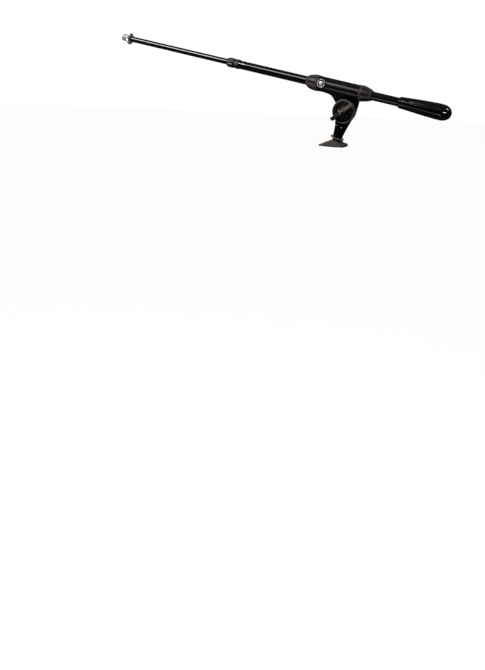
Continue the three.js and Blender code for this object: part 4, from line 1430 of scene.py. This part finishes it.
CAP_POINT = (0.24, 0, 0.08)  # where the lamps for the handle's cap aim
strip("key_left", along=1.92, length=1.04, wide=0.76, radiance=19.0, colour=(0.97, 1, 1))
strip("key_middle", along=1.15, length=0.48, wide=0.60, radiance=8.5)
strip("key_barrel", along=0.81, length=0.22, wide=0.60, radiance=4.6, colour=(1, 0.96, 0.93))
strip("key_handle", along=0.70, length=0.04, wide=0.22, radiance=6.0, colour=(1, 0.96, 0.92))
strip("key_rear", along=0.16, length=0.40, wide=0.50, radiance=0.4, colour=(1, 0.95, 0.92))
strip(
    "low_rear", along=0.24, length=0.90, wide=0.60, radiance=1.5, elevation=-40, away=1.8,
    colour=(1, 0.86, 0.79),
)
area("cap_glint", (1.89, -0.065, 1.91), CAP_POINT, (1, 0, 0), size=(0.8, 0.35), power=12)
strip(
    "far_side", along=0.35, length=3.4, wide=0.30, radiance=0.9, elevation=171, diffuse=False
)
cap_window = area(
    "cap_window", (1.17, -1.653, 0.264), CAP_POINT, (0.895, 0.446, 0), size=(1.1, 0.22), power=14,
    diffuse=False,
)
cap_low = area(
    "cap_low", (-0.10, 0.417, -1.324), CAP_POINT, (1, 0, 0), size=(0.9, 0.9), power=0.9,
    colour=(1, 0.82, 0.76), diffuse=False,
)
light_only([cap_window, cap_low], "lit_by_cap_lamps", [end_cap])
# the pale wall beyond the microphone end lights only the pieces that have chrome
chromed = [
    obj for obj in scene.objects if obj.type == "MESH" and CHROME in obj.data.materials[:]
]
wall_lamp = area(
    "wall", off_axis(3.2, 0, 0), off_axis(0.6, 0, 0), (0, 1, 0), size=(4.0, 4.0), power=48
)
light_only([wall_lamp], "lit_by_wall", chromed)
area(
    "overhead", (0, 0.2, 2.4), (0, 0, 0), (1, 0, 0), size=(3.0, 3.0), power=32,
    colour=(1, 0.98, 0.96), glossy=False,
)
area(
    "fill_left", (-1.6, -1.5, 0.9), (0.02, 0, 0.1), (0, 0, 1), size=(0.8, 0.8), power=18,
    glossy=False,
)

# ---- camera --------------------------------------------------------------------------------------
camera_data = bpy.data.cameras.new("camera")
camera = bpy.data.objects.new("camera", camera_data)
scene.collection.objects.link(camera)
camera_data.sensor_width = 36
camera_data.sensor_fit = "AUTO"
camera_data.lens = 42.9850746
camera_data.clip_start = 0.05
camera_data.clip_end = 60
camera.matrix_world = frame_of(
    origin=(0.62836, -1.76911, 0.22103),
    x_axis=(0.8950144, 0.44603725, 0),
    y_axis=(-0.15255372, 0.30611295, 0.93969262),
    z_axis=(0.41913791, -0.84103843, 0.34202014),
)
scene.camera = camera
scene.view_settings.view_transform = "Standard"
scene.view_settings.look = "None"
